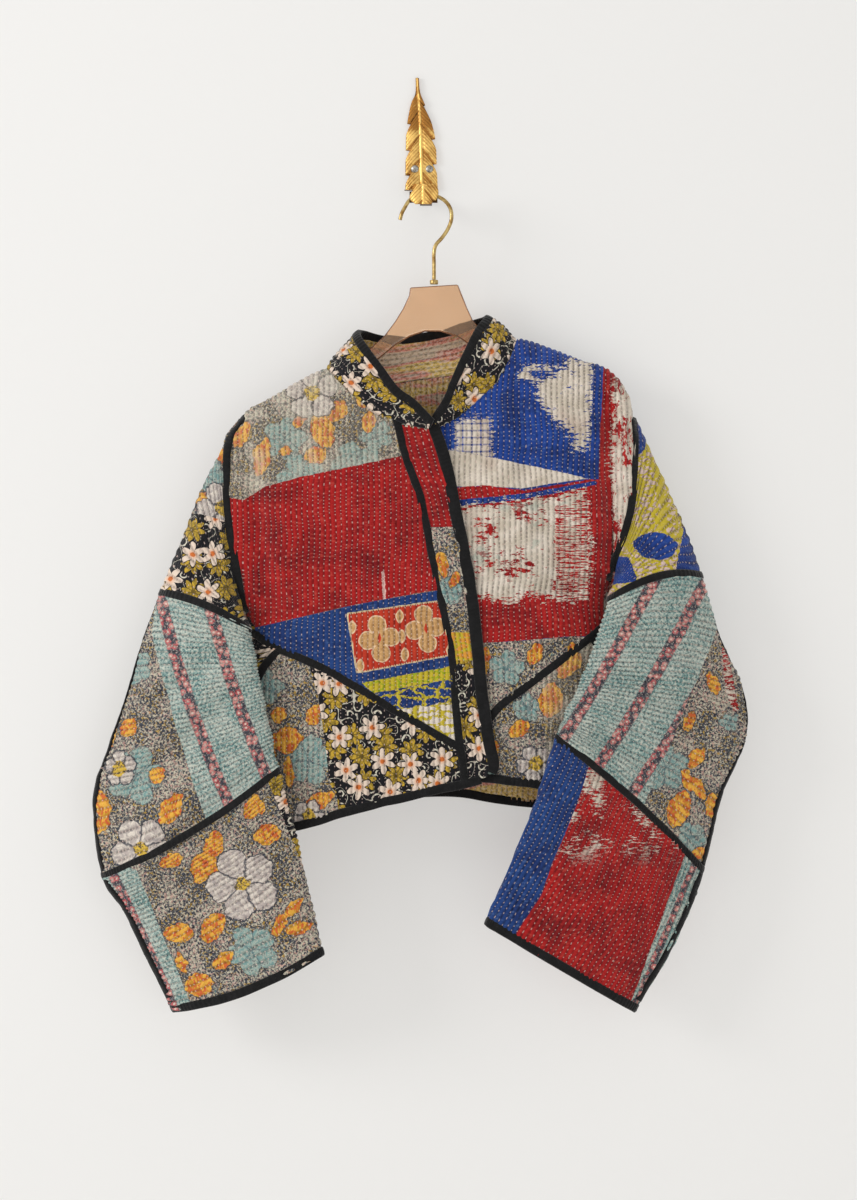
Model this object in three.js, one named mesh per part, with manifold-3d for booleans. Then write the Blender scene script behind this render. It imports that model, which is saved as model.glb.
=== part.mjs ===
// A quilted patchwork jacket on a clothes hanger, hung from a brass wall hook.
// Millimetres, +Z up. The wall is the plane y = 0 and the jacket's front faces -Y.
// The origin is on the wall, midway between the two screws of the wall hook.
// Right and left are the wearer's: the right sleeve is at negative x.
import * as THREE from 'three';
import { mergeVertices } from 'three/addons/utils/BufferGeometryUtils.js';
import Module from 'manifold-3d';

const wasm = await Module();
wasm.setup();

// ---- driving dimensions -------------------------------------------------------------
const HANG_PLANE = -52; // y of the hanger, and of the folds at shoulders and sides
const WALL = 2.4; // quilted cloth
const SEAM_GAP = 0.3; // between neighbouring pieces
const BINDING_WIDTH = 8; // bound seams
const FRONT_BINDING_WIDTH = 12; // the wide binding down the right front's edge
const EDGE_BINDING_WIDTH = 9; // collar, hems and cuffs
const BINDING_RISE = 1.2; // how far a binding stands proud of the cloth outside
const BINDING_SINK = 0.6; // and inside
const SHOULDER_HALF_DEPTH = 13; // the rounded fold over the hanger
const SHOULDER_DROP = 22; // and how far down it is fully open
const CHEST_HALF_DEPTH = 45;
const CHEST_REACH = 110; // how quickly the body widens below the shoulder
const BACK_SHARE = 0.85; // the back hangs a little flatter than the front
const SIDE_POWER = 2.4; // roundness of the fold at the side
const ARMHOLE_SHARE = 0.7; // depth left at the armhole
const UNDERARM_ROUND = 45; // height over which the armhole closes at the underarm
const ARMHOLE_MARGIN = 10; // the body's surface runs this far past the armhole
const UNDERLAP = 5; // how far the left front lies behind the right one
const UNDERLAP_REACH = 16; // full this far past the edge
const UNDERLAP_FADE = 50;
const ARMHOLE_TUCK = 1.5; // the sleeve starts this far inside the armhole's two ends
const ARMHOLE_MOUTH = 3; // how quickly the armhole opens between front and back
const ARMHOLE_BLEND = 1.5; // rings over which a sleeve leaves the armhole's shape
const SHEET_BOTTOM = -705; // the body's surface runs below every hem
const SHOULDER_SEAM_DROP = 4.8; // the shoulder seam lies this far down the back
const SHOULDER_SEAM = { rightEnd: -205, rightNeck: -90, leftNeck: 90, leftEnd: 216 };
const SIDE_TOP = { right: -425, left: -397 }; // z where the back's side seams end
const SLEEVE_SIDES = 8;

const table = (columns, rows) =>
  rows.map((row) => Object.fromEntries(columns.map((name, at) => [name, row[at]])));

// ---- outlines, seen from the front ---------------------------------------------------
const RIDGE = table(['x', 'z'], [
  [-205, -284], [-195, -272], [-182, -258], [-172, -246], [-152, -236], [-96, -206],
  [0, -190], [95, -176], [138, -190], [178, -204], [198, -218], [207, -236],
  [213, -256], [225, -300],
]);
const RIGHT_ARMHOLE = table(['x', 'z'], [
  [-179, -255], [-190, -268], [-194, -283], [-195, -318], [-194, -348], [-190, -378],
  [-186, -398], [-182, -425], [-177, -450],
]);
const RIGHT_SIDE = table(['x', 'z'], [
  [-175, -462], [-174, -478], [-178, -500], [-186, -540], [-194, -585], [-199, -635],
  [-201, -690],
]);
const LEFT_ARMHOLE = table(['x', 'z'], [
  [213, -258], [214, -278], [213, -298], [211, -328], [208, -348], [203, -368],
  [196, -388], [191, -404], [188, -418],
]);
const LEFT_SIDE = table(['x', 'z'], [
  [186, -430], [185, -445], [188, -470], [196, -510], [204, -560], [210, -610],
  [212, -690],
]);
const FRONT_EDGE = table(['x', 'z'], [
  [10, -262], [21, -293], [28, -323], [35, -358], [41, -388], [48, -428], [54, -478],
  [58, -518], [62, -553], [67, -583], [71, -600], [68, -610],
]);
const PLACKET_SEAM = table(['x', 'z'], [
  [-26, -255], [-15, -298], [-4, -328], [3, -358], [9, -388], [15, -418], [21, -448],
  [27, -478], [31, -508], [33, -538], [36, -568], [40, -598], [43, -625],
]);
const RIGHT_DIAGONAL = table(['x', 'z'], [
  [-184, -462], [-164, -474], [-142, -487], [-122, -495], [-92, -509], [-62, -526],
  [-22, -550], [18, -573], [44, -588],
]);
const LEFT_DIAGONAL = table(['x', 'z'], [
  [28, -590], [63, -560], [78, -543], [98, -528], [118, -513], [138, -498],
  [158, -483], [178, -467], [194, -452],
]);
const RIGHT_FRONT_SIDE_SEAM = table(['x', 'z'], [
  [-138, -480], [-144, -488], [-160, -509], [-172, -540], [-180, -590], [-184, -640],
  [-186, -690],
]);
const LEFT_FRONT_SIDE_SEAM = table(['x', 'z'], [
  [166, -466], [173, -480], [182, -510], [190, -560], [196, -610], [198, -660],
]);
const RIGHT_BACK_SIDE_SEAM = table(['x', 'z'], [
  [-168, -440], [-164, -480], [-168, -510], [-176, -560], [-184, -630], [-186, -690],
]);
const LEFT_BACK_SIDE_SEAM = table(['x', 'z'], [
  [178, -408], [174, -450], [179, -490], [188, -550], [195, -610], [198, -670],
]);
const RIGHT_FRONT_HEM = table(['x', 'z'], [
  [-230, -682], [-186, -675], [-160, -669], [-122, -662], [-82, -650], [-42, -639],
  [-22, -635], [18, -625], [52, -618], [64, -613],
]);
const LEFT_FRONT_HEM = table(['x', 'z'], [
  [20, -610], [75, -616], [118, -621], [160, -629], [198, -641], [240, -642],
]);
const BACK_HEM = table(['x', 'z'], [
  [-230, -682], [-186, -675], [-120, -655], [-40, -637], [-2, -633], [38, -633],
  [78, -640], [118, -644], [160, -642], [198, -641], [240, -642],
]);
// The left front's edge, under the right front.
const UNDER_EDGE = table(['x', 'z'], [
  [12, -260], [4, -290], [2, -323], [8, -358], [13, -388], [19, -428], [24, -478],
  [28, -518], [32, -553], [36, -585], [39, -622],
]);
// The collar from its right front end round the back of the neck to its left end.
// The seam lies on the front or on the back of the body; the top edge is free.
const COLLAR = table(['side', 'seamX', 'seamZ', 'topX', 'topZ', 'topY'], [
  ['front', 8, -269, 12, -259, -91], ['front', -20, -264, -5, -241, -90],
  ['front', -48, -251, -24, -226, -88], ['front', -72, -232, -41, -203, -82],
  ['front', -89, -214, -56, -182, -72], ['front', -96, -206, -63, -169, -56],
  ['back', -82, -215, -58, -167, -42], ['back', -45, -221, -33, -172, -29],
  ['back', 0, -216, 4, -168, -25], ['back', 45, -208, 38, -160, -29],
  ['back', 82, -190, 59, -154, -42], ['front', 95, -177, 63, -154, -56],
  ['front', 88, -197, 53, -168, -70], ['front', 73, -223, 42, -190, -78],
  ['front', 52, -243, 31, -213, -82], ['front', 35, -257, 22, -236, -84],
  ['front', 12, -268, 9, -257, -84],
]);

// Large folds of the front: soft troughs (positive depth) and ridges (negative).
const FRONT_FOLDS = table(['topX', 'topZ', 'endX', 'endZ', 'halfWidth', 'depth'], [
  [187, -215, 190, -420, 9, 9], [203, -232, 206, -380, 8, -3],
  [-176, -270, -150, -470, 11, 4], [-120, -300, -70, -500, 22, 3],
  [110, -240, 150, -450, 20, 3], [-30, -400, -60, -600, 24, -3],
]);

// ---- sleeves: one row for each ring, from the armhole to the cuff --------------------
const RING_COLUMNS = ['outerX', 'outerZ', 'outerY', 'innerX', 'innerZ', 'innerY', 'front',
  'back', 'bow'];
const RIGHT_SLEEVE = {
  name: 'right',
  armhole: RIGHT_ARMHOLE,
  outward: -1,
  rings: table(RING_COLUMNS, [
    [-183, -257, -52, -181, -450, -52, 20, 17, 0],
    [-215, -316, -52, -178, -456, -67, 20, 17, 0],
    [-239, -373, -53, -175, -461, -79, 20, 17, 3],
    [-262, -430, -54, -170, -466, -87, 20, 16, 6],
    [-279, -478, -55, -166, -488, -95, 19, 15, 3],
    [-297, -538, -56, -160, -515, -101, 18, 14, 0],
    [-314, -588, -57, -154, -544, -104, 17, 13, -3],
    [-328, -638, -58, -148, -574, -108, 17, 13, -6],
    [-319, -714, -60, -141, -605, -110, 17, 13, -9],
    [-297, -750, -62, -130, -646, -110, 17, 13, -6],
    [-274, -798, -62, -117, -700, -107, 17, 14, -6],
    [-248, -850, -62, -97, -789, -102, 17, 15, -9],
  ]),
  // angle of the outer seam at each ring: 0 is the outer fold, positive is in front
  seam: [0, 0, 0, -0.3, -0.25, -0.18, -0.1, 0.0, 0.16, 0.2, 0.22, 0.24],
};
const LEFT_SLEEVE = {
  name: 'left',
  armhole: LEFT_ARMHOLE,
  outward: 1,
  rings: table(RING_COLUMNS, [
    [217, -259, -52, 192, -418, -52, 20, 17, 0],
    [240, -312, -52, 191, -424, -66, 20, 17, 3],
    [262, -365, -53, 188, -430, -78, 20, 17, 6],
    [280, -413, -54, 185, -436, -87, 20, 16, 10],
    [297, -472, -55, 174, -470, -96, 19, 15, 9],
    [321, -530, -56, 161, -505, -103, 18, 14, 8],
    [323, -576, -57, 149, -532, -106, 17, 13, 8],
    [299, -634, -58, 139, -556, -110, 17, 13, 8],
    [281, -708, -60, 132, -573, -112, 17, 13, 8],
    [267, -748, -62, 115, -628, -112, 17, 13, 5],
    [244, -796, -62, 92, -686, -109, 17, 14, 2],
    [212, -850, -62, 62, -759, -105, 17, 15, 0],
  ]),
  seam: [0, 0, 0, -0.3, -0.25, -0.2, -0.12, -0.05, 0.14, 0.2, 0.22, 0.24],
};
const CAP_END = 3; // ring of the seam between cap and middle
const MIDDLE_END = 8; // ring of the seam between middle and lower part

// ---- hanger and wall hook ------------------------------------------------------------
const HANGER_THICKNESS = 9;
const HANGER_OUTLINE = table(['x', 'z'], [
  [-12, -125], [36, -122], [40, -133], [45, -145], [51, -158], [66, -175], [95, -193],
  [140, -206], [176, -220], [186, -232], [183, -245], [170, -246], [120, -226],
  [80, -207], [55, -189], [40, -177], [33, -173], [18, -169], [3, -169], [-12, -174],
  [-27, -183], [-42, -196], [-64, -214], [-96, -234], [-140, -258], [-154, -265],
  [-163, -263], [-164, -256], [-150, -248], [-96, -216], [-64, -196], [-39, -175],
  [-27, -159], [-19, -146], [-13, -133],
]);
const WIRE_RADIUS = 1.9;
const WIRE_ROUTE = table(['x', 'z'], [
  [12, -121.5], [12, -104], [12, -90], [14, -82], [20, -75], [26, -66], [29.5, -56],
  [28.5, -46], [23, -38], [14, -33], [4, -31.5], [-6, -33], [-13, -38], [-17.5, -45],
  [-20.5, -51], [-22, -57],
]);
const FERRULE = { x: 12, bottom: -121.7, top: -117.3, radius: 4.2 };
const LEAF_THICKNESS = 3;
const LEAF_RIB = 2.5; // the midrib stands this far out of the leaf
const RIB_ROOT = 0.5; // and starts this far in front of the wall
const RIB_OUTLINE = table(['x', 'z'], [
  [-2.4, -20], [2.4, -20], [1.6, 40], [-3.4, 84], [-5.6, 84], [-2.2, 40],
]);
const LEAF_OUTLINE = table(['x', 'z'], [
  [-6.5, 93], [-3.5, 93], [-1.5, 76], [5, 62], [9, 50], [8, 46], [13, 34], [14, 26],
  [12, 22], [16, 10], [16, 2], [14, -2], [17, -12], [16, -22], [-18, -22], [-18, -12],
  [-15, -2], [-17, 2], [-17, 12], [-13, 22], [-16, 26], [-16, 36], [-11, 47],
  [-14, 50], [-13, 60], [-8, 74],
]);
// The leaf's foot runs forward under the hanger's wire and turns up into a broad lip.
const FOOT = { x: 4, halfWidth: 6 };
const FOOT_SECTION = table(['y', 'z'], [
  [0, -20], [-3, -20], [-4, -24], [-10, -29], [-22, -34], [-38, -36], [-50, -35.6],
  [-59, -35], [-60, -39], [-45, -41.5], [-30, -40.5], [-12, -36], [0, -29],
]);
const LIP = { x: 1.5, halfWidth: 14 };
const LIP_SECTION = table(['y', 'z'], [
  [-56.5, -40.5], [-56.5, -34], [-58, -29], [-60, -23], [-63, -23.5], [-62, -32],
  [-60, -40],
]);
const SCREW = { spacing: 15, headRadius: 4, headHeight: 2 };

// ---- the looks of each kind of piece ---------------------------------------------------
const finish = (color, roughness, metalness = 0) =>
  new THREE.MeshStandardMaterial({ color, roughness, metalness });
const FINISHES = {
  redPatch: finish(0xa51e23, 0.95),
  paleFloral: finish(0xa6a79c, 0.95),
  darkFloral: finish(0x2b2a28, 0.95),
  wornRed: finish(0xc9a092, 0.95),
  stripedAqua: finish(0x9fc4bd, 0.95),
  blue: finish(0x26488f, 0.95),
  binding: finish(0x141414, 0.9),
  amber: finish(0xcd966e, 0.15),
  gold: finish(0xd7c896, 0.3, 1),
  brass: finish(0x9a6e2c, 0.4, 1),
  steel: finish(0xa8a8a8, 0.35, 1),
};

const group = new THREE.Group();
function addPiece(name, geometry, material) {
  const mesh = new THREE.Mesh(geometry, material);
  mesh.name = name;
  group.add(mesh);
}

// ---- curves through tables -------------------------------------------------------------
// A smooth curve of one column against another, flat beyond the table's ends.
function smooth(rows, key, value, at) {
  const sorted = rows[0][key] < rows[rows.length - 1][key] ? rows : [...rows].reverse();
  const last = sorted.length - 1;
  if (at <= sorted[0][key]) return sorted[0][value];
  if (at >= sorted[last][key]) return sorted[last][value];
  let i = 0;
  while (sorted[i + 1][key] < at) i += 1;
  const slope = (from, to) =>
    (sorted[to][value] - sorted[from][value]) / (sorted[to][key] - sorted[from][key]);
  const span = sorted[i + 1][key] - sorted[i][key];
  const t = (at - sorted[i][key]) / span;
  const startSlope = slope(Math.max(i - 1, 0), i + 1) * span;
  const endSlope = slope(i, Math.min(i + 2, last)) * span;
  return sorted[i][value] * (2 * t ** 3 - 3 * t ** 2 + 1) + startSlope * (t ** 3 - 2 * t ** 2 + t)
    + sorted[i + 1][value] * (3 * t ** 2 - 2 * t ** 3) + endSlope * (t ** 3 - t ** 2);
}
const clamp01 = (value) => Math.min(1, Math.max(0, value));
const ease = (value) => clamp01(value) ** 2 * (3 - 2 * clamp01(value));
const mix = (a, b, t) => a + (b - a) * t;
// Opens like a quarter circle: 0 at the fold, 1 when fully open.
const quarterRound = (value) => Math.sqrt(1 - (1 - clamp01(value)) ** 2);

const ridge = (x) => smooth(RIDGE, 'x', 'z', x);
const RIGHT_BORDER = [...RIGHT_ARMHOLE, ...RIGHT_SIDE];
const LEFT_BORDER = [...LEFT_ARMHOLE, ...LEFT_SIDE];
const borderX = (rows, z) => smooth(rows, 'z', 'x', z);
const underarmZ = (rows) => rows[rows.length - 1].z;

// ---- the body's surface ------------------------------------------------------------------
function openness(armhole, z) {
  return quarterRound((z - underarmZ(armhole)) / UNDERARM_ROUND);
}

function foldDepth(x, z) {
  return FRONT_FOLDS.reduce((sum, fold) => {
    const t = (fold.topZ - z) / (fold.topZ - fold.endZ);
    const across = (x - mix(fold.topX, fold.endX, t)) / fold.halfWidth;
    return sum + fold.depth * ease(t * 4) * ease((1 - t) * 4) * Math.exp(-across * across);
  }, 0);
}

// Distance of the cloth's outer face from the hang plane.
function bodyDepth(x, z, side) {
  const right = borderX(RIGHT_BORDER, z);
  const left = borderX(LEFT_BORDER, z);
  const across = Math.min(1, Math.abs(2 * x - right - left) / (left - right));
  const open = openness(x < (right + left) / 2 ? RIGHT_ARMHOLE : LEFT_ARMHOLE, z);
  const drop = Math.max(0, ridge(x) - z);
  const full = SHOULDER_HALF_DEPTH * quarterRound(drop / SHOULDER_DROP)
    + (CHEST_HALF_DEPTH - SHOULDER_HALF_DEPTH) * (1 - Math.exp(-drop / CHEST_REACH));
  const closed = (1 - across ** SIDE_POWER) ** (1 / SIDE_POWER);
  const opened = 1 - (1 - ARMHOLE_SHARE) * across ** 3;
  const depth = full * mix(closed, opened, open);
  if (side === 'back') return depth * BACK_SHARE;
  const settled = depth * ease(depth / SHOULDER_HALF_DEPTH);
  let front = depth - foldDepth(x, z) * Math.min(1, settled / SHOULDER_HALF_DEPTH);
  if (side === 'underlap') {
    const past = x - smooth(FRONT_EDGE, 'z', 'x', z);
    front -= UNDERLAP * ease(1 - (past - UNDERLAP_REACH) / UNDERLAP_FADE);
  }
  return Math.max(0, front);
}

function bodyPoint(x, z, side) {
  const depth = bodyDepth(x, z, side);
  return new THREE.Vector3(x, HANG_PLANE + (side === 'back' ? depth : -depth), z);
}

// ---- solids ------------------------------------------------------------------------------
function toManifold(geometry) {
  const bare = geometry.index ? geometry.toNonIndexed() : geometry.clone();
  for (const name of Object.keys(bare.attributes)) {
    if (name !== 'position') bare.deleteAttribute(name);
  }
  const merged = mergeVertices(bare, 1e-4);
  return new wasm.Manifold(new wasm.Mesh({
    numProp: 3,
    vertProperties: new Float32Array(merged.attributes.position.array),
    triVerts: new Uint32Array(merged.index.array),
  }));
}

function toGeometry(solid) {
  const mesh = solid.getMesh();
  const geometry = new THREE.BufferGeometry();
  geometry.setAttribute('position', new THREE.BufferAttribute(mesh.vertProperties, 3));
  geometry.setIndex(new THREE.BufferAttribute(mesh.triVerts, 1));
  return geometry.toNonIndexed();
}

// Collects quadrilaterals whose corners run anticlockwise seen from outside.
class FaceList {
  constructor() {
    this.corners = [];
  }

  triangle(a, b, c) {
    const area = new THREE.Triangle(a, b, c).getArea();
    if (area > 1e-6) this.corners.push(a, b, c);
  }

  quad(a, b, c, d) {
    this.triangle(a, b, c);
    this.triangle(a, c, d);
  }

  geometry() {
    return new THREE.BufferGeometry().setFromPoints(this.corners);
  }
}

// The body's share of its height at each row, closer together at the shoulder fold.
const BODY_ROWS = [0, 0.005, 0.022, 0.06, 0.13, 0.22, 0.32, 0.42, 0.54, 0.74, 1];

// The columns' places from the right side fold (-1) to the left one (1).
const BODY_COLUMNS = [-1, -0.98, -0.9, -0.74, -0.5, -0.25, -0.06, 0.08, 0.2, 0.32,
  0.46, 0.64, 0.8, 0.93, 0.985, 1];

function bodyColumn(place, row) {
  const margin = (rows, z) =>
    ARMHOLE_MARGIN * ease((z - underarmZ(rows)) / ARMHOLE_MARGIN / 2);
  const at = (rows, armhole, outward) => {
    let x = rows[0].x;
    for (let pass = 0; pass < 8; pass += 1) {
      const z = mix(ridge(x), SHEET_BOTTOM, row);
      x = borderX(rows, z) + outward * margin(armhole, z);
    }
    return x;
  };
  const right = at(RIGHT_BORDER, RIGHT_ARMHOLE, -1);
  const left = at(LEFT_BORDER, LEFT_ARMHOLE, 1);
  const x = mix(right, left, (1 + place) / 2);
  return { x, z: mix(ridge(x), SHEET_BOTTOM, row) };
}

// The closed outer form of front and back together, grown along its normals.
function bodyForm(frontSide, grow) {
  const grid = (side) => BODY_ROWS.map((row) =>
    BODY_COLUMNS.map((place) => {
      const { x, z } = bodyColumn(place, row);
      const point = bodyPoint(x, z, side);
      if (row === 0) point.y = HANG_PLANE;
      return point;
    }));
  const front = grid(frontSide);
  const back = grid('back');
  const faces = new FaceList();
  const end = BODY_COLUMNS.length - 1;
  for (let j = 0; j < BODY_ROWS.length - 1; j += 1) {
    for (let i = 0; i < end; i += 1) {
      faces.quad(front[j][i], front[j + 1][i], front[j + 1][i + 1], front[j][i + 1]);
      faces.quad(back[j][i + 1], back[j + 1][i + 1], back[j + 1][i], back[j][i]);
    }
    faces.quad(back[j][0], back[j + 1][0], front[j + 1][0], front[j][0]);
    faces.quad(front[j][end], front[j + 1][end], back[j + 1][end], back[j][end]);
  }
  const low = BODY_ROWS.length - 1;
  for (let i = 0; i < end; i += 1) {
    faces.quad(front[low][i], back[low][i], back[low][i + 1], front[low][i + 1]);
  }
  const form = mergeVertices(faces.geometry(), 1e-3);
  form.computeVertexNormals();
  const position = form.attributes.position;
  const normal = form.attributes.normal;
  for (let i = 0; i < position.count; i += 1) {
    position.setXYZ(i, position.getX(i) + grow * normal.getX(i),
      position.getY(i) + grow * normal.getY(i), position.getZ(i) + grow * normal.getZ(i));
  }
  form.deleteAttribute('normal');
  return toManifold(form);
}

function bodyShell(frontSide, outside, inside) {
  return bodyForm(frontSide, outside).subtract(bodyForm(frontSide, -inside));
}

// ---- cutting the body's cloth ------------------------------------------------------------
const FRONT_REACH = -200; // beyond every front, along y
const BACK_REACH = 20;

// A prism along y over an outline seen from the front.
function prism(outline, fromY, toY) {
  const shape = new THREE.Shape(outline.map(({ x, z }) => new THREE.Vector2(x, z)));
  const geometry = new THREE.ExtrudeGeometry(shape, { depth: toY - fromY, bevelEnabled: false });
  geometry.rotateX(Math.PI / 2);
  geometry.translate(0, toY, 0);
  return toManifold(geometry);
}

const STRIP_STEP = 40;
// The outline of a strip of one width along a line.
function stripOutline(line, width) {
  const curve = new THREE.SplineCurve(line.map(({ x, z }) => new THREE.Vector2(x, z)));
  const steps = Math.max(4, Math.ceil(curve.getLength() / STRIP_STEP));
  const edges = { before: [], after: [] };
  for (let i = 0; i <= steps; i += 1) {
    const point = curve.getPointAt(i / steps);
    const tangent = curve.getTangentAt(i / steps);
    const offset = new THREE.Vector2(-tangent.y, tangent.x).multiplyScalar(width / 2);
    edges.before.push({ x: point.x + offset.x, z: point.y + offset.y });
    edges.after.unshift({ x: point.x - offset.x, z: point.y - offset.y });
  }
  return [...edges.before, ...edges.after];
}

// A binding takes its own strip, and its neighbours keep the seam gap to it.
function strip(line, width, fromY, toY) {
  return {
    body: prism(stripOutline(line, width), fromY, toY),
    room: prism(stripOutline(line, width + 2 * SEAM_GAP), fromY - SEAM_GAP, toY + SEAM_GAP),
  };
}
const FRONT_END = HANG_PLANE - SEAM_GAP / 2;
const BACK_START = HANG_PLANE + SEAM_GAP / 2;
const frontStrip = (line, width) => strip(line, width, FRONT_REACH, FRONT_END);
const backStrip = (line, width) => strip(line, width, BACK_START, BACK_REACH);
const throughStrip = (line, width) => strip(line, width, FRONT_REACH, BACK_REACH);

// Outlines of everything on one side of a line that runs across or down the jacket.
const FAR = 1500;
const across = (line, z) => [{ x: -FAR, z: line[0].z }, ...line,
  { x: FAR, z: line[line.length - 1].z }, { x: FAR, z }, { x: -FAR, z }];
const above = (line) => across(line, FAR);
const below = (line) => across(line, -FAR);
const down = (line, x) => [{ x: line[0].x, z: FAR }, ...line,
  { x: line[line.length - 1].x, z: -FAR }, { x, z: -FAR }, { x, z: FAR }];
const rightOf = (line) => down(line, FAR);
const leftOf = (line) => down(line, -FAR);
const moved = (line, dx, dz) => line.map(({ x, z }) => ({ x: x + dx, z: z + dz }));

const STRIPS = {
  rightArmhole: throughStrip(
    [{ x: -173, z: -238 }, ...RIGHT_ARMHOLE, { x: -176, z: -452 }], BINDING_WIDTH),
  leftArmhole: throughStrip(
    [{ x: 211, z: -238 }, ...LEFT_ARMHOLE, { x: 187, z: -420 }], BINDING_WIDTH),
  frontEdge: frontStrip(FRONT_EDGE, FRONT_BINDING_WIDTH),
  underEdge: frontStrip(UNDER_EDGE, BINDING_WIDTH),
  placket: frontStrip(PLACKET_SEAM, BINDING_WIDTH),
  rightDiagonal: frontStrip(RIGHT_DIAGONAL, BINDING_WIDTH),
  leftDiagonal: frontStrip(LEFT_DIAGONAL, BINDING_WIDTH),
  rightFrontSide: frontStrip(RIGHT_FRONT_SIDE_SEAM, BINDING_WIDTH),
  leftFrontSide: frontStrip(LEFT_FRONT_SIDE_SEAM, BINDING_WIDTH),
  rightBackSide: backStrip(RIGHT_BACK_SIDE_SEAM, BINDING_WIDTH),
  leftBackSide: backStrip(LEFT_BACK_SIDE_SEAM, BINDING_WIDTH),
  rightHem: frontStrip(RIGHT_FRONT_HEM, EDGE_BINDING_WIDTH),
  leftHem: frontStrip(LEFT_FRONT_HEM, EDGE_BINDING_WIDTH),
  backHem: throughStrip(BACK_HEM, EDGE_BINDING_WIDTH),
};

// ---- what is cut away from the body -------------------------------------------------------
const seamLine = (rows) => rows.map(({ seamX, seamZ }) => ({ x: seamX, z: seamZ }));
const FIRST_BACK = COLLAR.findIndex(({ side }) => side === 'back');
const AFTER_BACK = COLLAR.findIndex(({ side }, at) => side === 'front' && at > FIRST_BACK);
const FRONT_NECK = [...seamLine(COLLAR.slice(0, FIRST_BACK)).reverse(),
  ...seamLine(COLLAR.slice(AFTER_BACK)).reverse()];
const BACK_NECK = seamLine(COLLAR.slice(FIRST_BACK - 1, AFTER_BACK + 1));
const neckTop = (line) => [...line, { x: line[line.length - 1].x, z: FAR },
  { x: line[0].x, z: FAR }];
const frontNeckRoom = prism(neckTop(FRONT_NECK), FRONT_REACH, HANG_PLANE + SEAM_GAP);
const backNeckRoom = prism(neckTop(BACK_NECK), HANG_PLANE, BACK_REACH);

const CAP_LEAN = 2; // above the shoulder, an armhole's line leans in by this much
const CAP_RISE = 17; // at this height over the armhole's top
// The sleeve's side of an armhole, from a given distance outside the armhole's line.
function sleeveSide(armhole, outward, distance) {
  const top = armhole[0];
  const end = armhole[armhole.length - 1];
  const line = [{ x: top.x - outward * CAP_LEAN, z: FAR },
    { x: top.x - outward * CAP_LEAN, z: top.z + CAP_RISE }, ...armhole,
    { x: end.x, z: end.z - BINDING_WIDTH / 2 }];
  const near = moved(line, outward * distance, 0);
  return [...near, { x: outward * FAR, z: end.z - BINDING_WIDTH / 2 },
    { x: outward * FAR, z: FAR }];
}
const sleeveRooms = [[RIGHT_ARMHOLE, -1], [LEFT_ARMHOLE, 1]].map(([armhole, outward]) =>
  prism(sleeveSide(armhole, outward, BINDING_WIDTH / 2), FRONT_REACH, BACK_REACH));

const SHOULDER_LINE = Array.from({ length: 41 }, (_, i) => {
  const x = mix(-200, 216, i / 40);
  return { x, z: ridge(x) - SHOULDER_SEAM_DROP };
});
const underShoulder = (drop) => moved(SHOULDER_LINE, 0, -drop);
const backBelowShoulder = prism(below(underShoulder(-SEAM_GAP)), HANG_PLANE - SEAM_GAP / 2,
  BACK_REACH);

const cloths = {
  over: bodyShell('front', 0, WALL),
  under: bodyShell('underlap', 0, WALL),
  overBinding: bodyShell('front', BINDING_RISE, WALL + BINDING_SINK),
  underBinding: bodyShell('underlap', BINDING_RISE, WALL + BINDING_SINK),
};

// Keeps the largest body of what is left of a cloth inside every outline of `keep`,
// without the volumes in `without`.
function cut(cloth, keep, without, fromY = FRONT_REACH, toY = BACK_REACH) {
  let piece = cloth;
  for (const outline of keep) {
    piece = piece.intersect(prism(outline, fromY, toY));
  }
  for (const volume of [...without, frontNeckRoom, backNeckRoom, ...sleeveRooms]) {
    piece = piece.subtract(volume);
  }
  const bodies = piece.decompose().sort((a, b) => b.volume() - a.volume());
  return toGeometry(bodies[0]);
}

// A binding is the thick cloth inside its own strip.
function binding(cloth, own, keep, without) {
  return cut(cloth.intersect(own.body), keep, without.map(({ room }) => room));
}

const rooms = (...names) => names.map((name) => STRIPS[name].room);
const strips = (...names) => names.map((name) => STRIPS[name]);

// ---- the body's panels --------------------------------------------------------------------
addPiece('right_front_panel', cut(cloths.over, [above(RIGHT_DIAGONAL), leftOf(PLACKET_SEAM)],
  [backBelowShoulder, ...rooms('rightArmhole', 'placket', 'rightDiagonal')]),
FINISHES.redPatch);
addPiece('right_front_lower_panel', cut(cloths.over,
  [below(RIGHT_DIAGONAL), leftOf(PLACKET_SEAM), rightOf(RIGHT_FRONT_SIDE_SEAM),
    above(RIGHT_FRONT_HEM)],
  rooms('rightDiagonal', 'placket', 'rightFrontSide', 'rightHem'), FRONT_REACH, FRONT_END),
FINISHES.darkFloral);
addPiece('placket_band', cut(cloths.over,
  [rightOf(PLACKET_SEAM), leftOf(FRONT_EDGE), above(RIGHT_FRONT_HEM)],
  rooms('placket', 'frontEdge', 'rightHem'), FRONT_REACH, FRONT_END), FINISHES.redPatch);
addPiece('left_front_panel', cut(cloths.under, [above(LEFT_DIAGONAL), rightOf(UNDER_EDGE)],
  [backBelowShoulder, ...rooms('leftArmhole', 'underEdge', 'leftDiagonal')]), FINISHES.wornRed);
addPiece('left_front_lower_panel', cut(cloths.under,
  [below(LEFT_DIAGONAL), rightOf(UNDER_EDGE), leftOf(LEFT_FRONT_SIDE_SEAM),
    above(LEFT_FRONT_HEM)],
  rooms('leftDiagonal', 'underEdge', 'leftFrontSide', 'leftHem'), FRONT_REACH, FRONT_END),
FINISHES.paleFloral);
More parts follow.
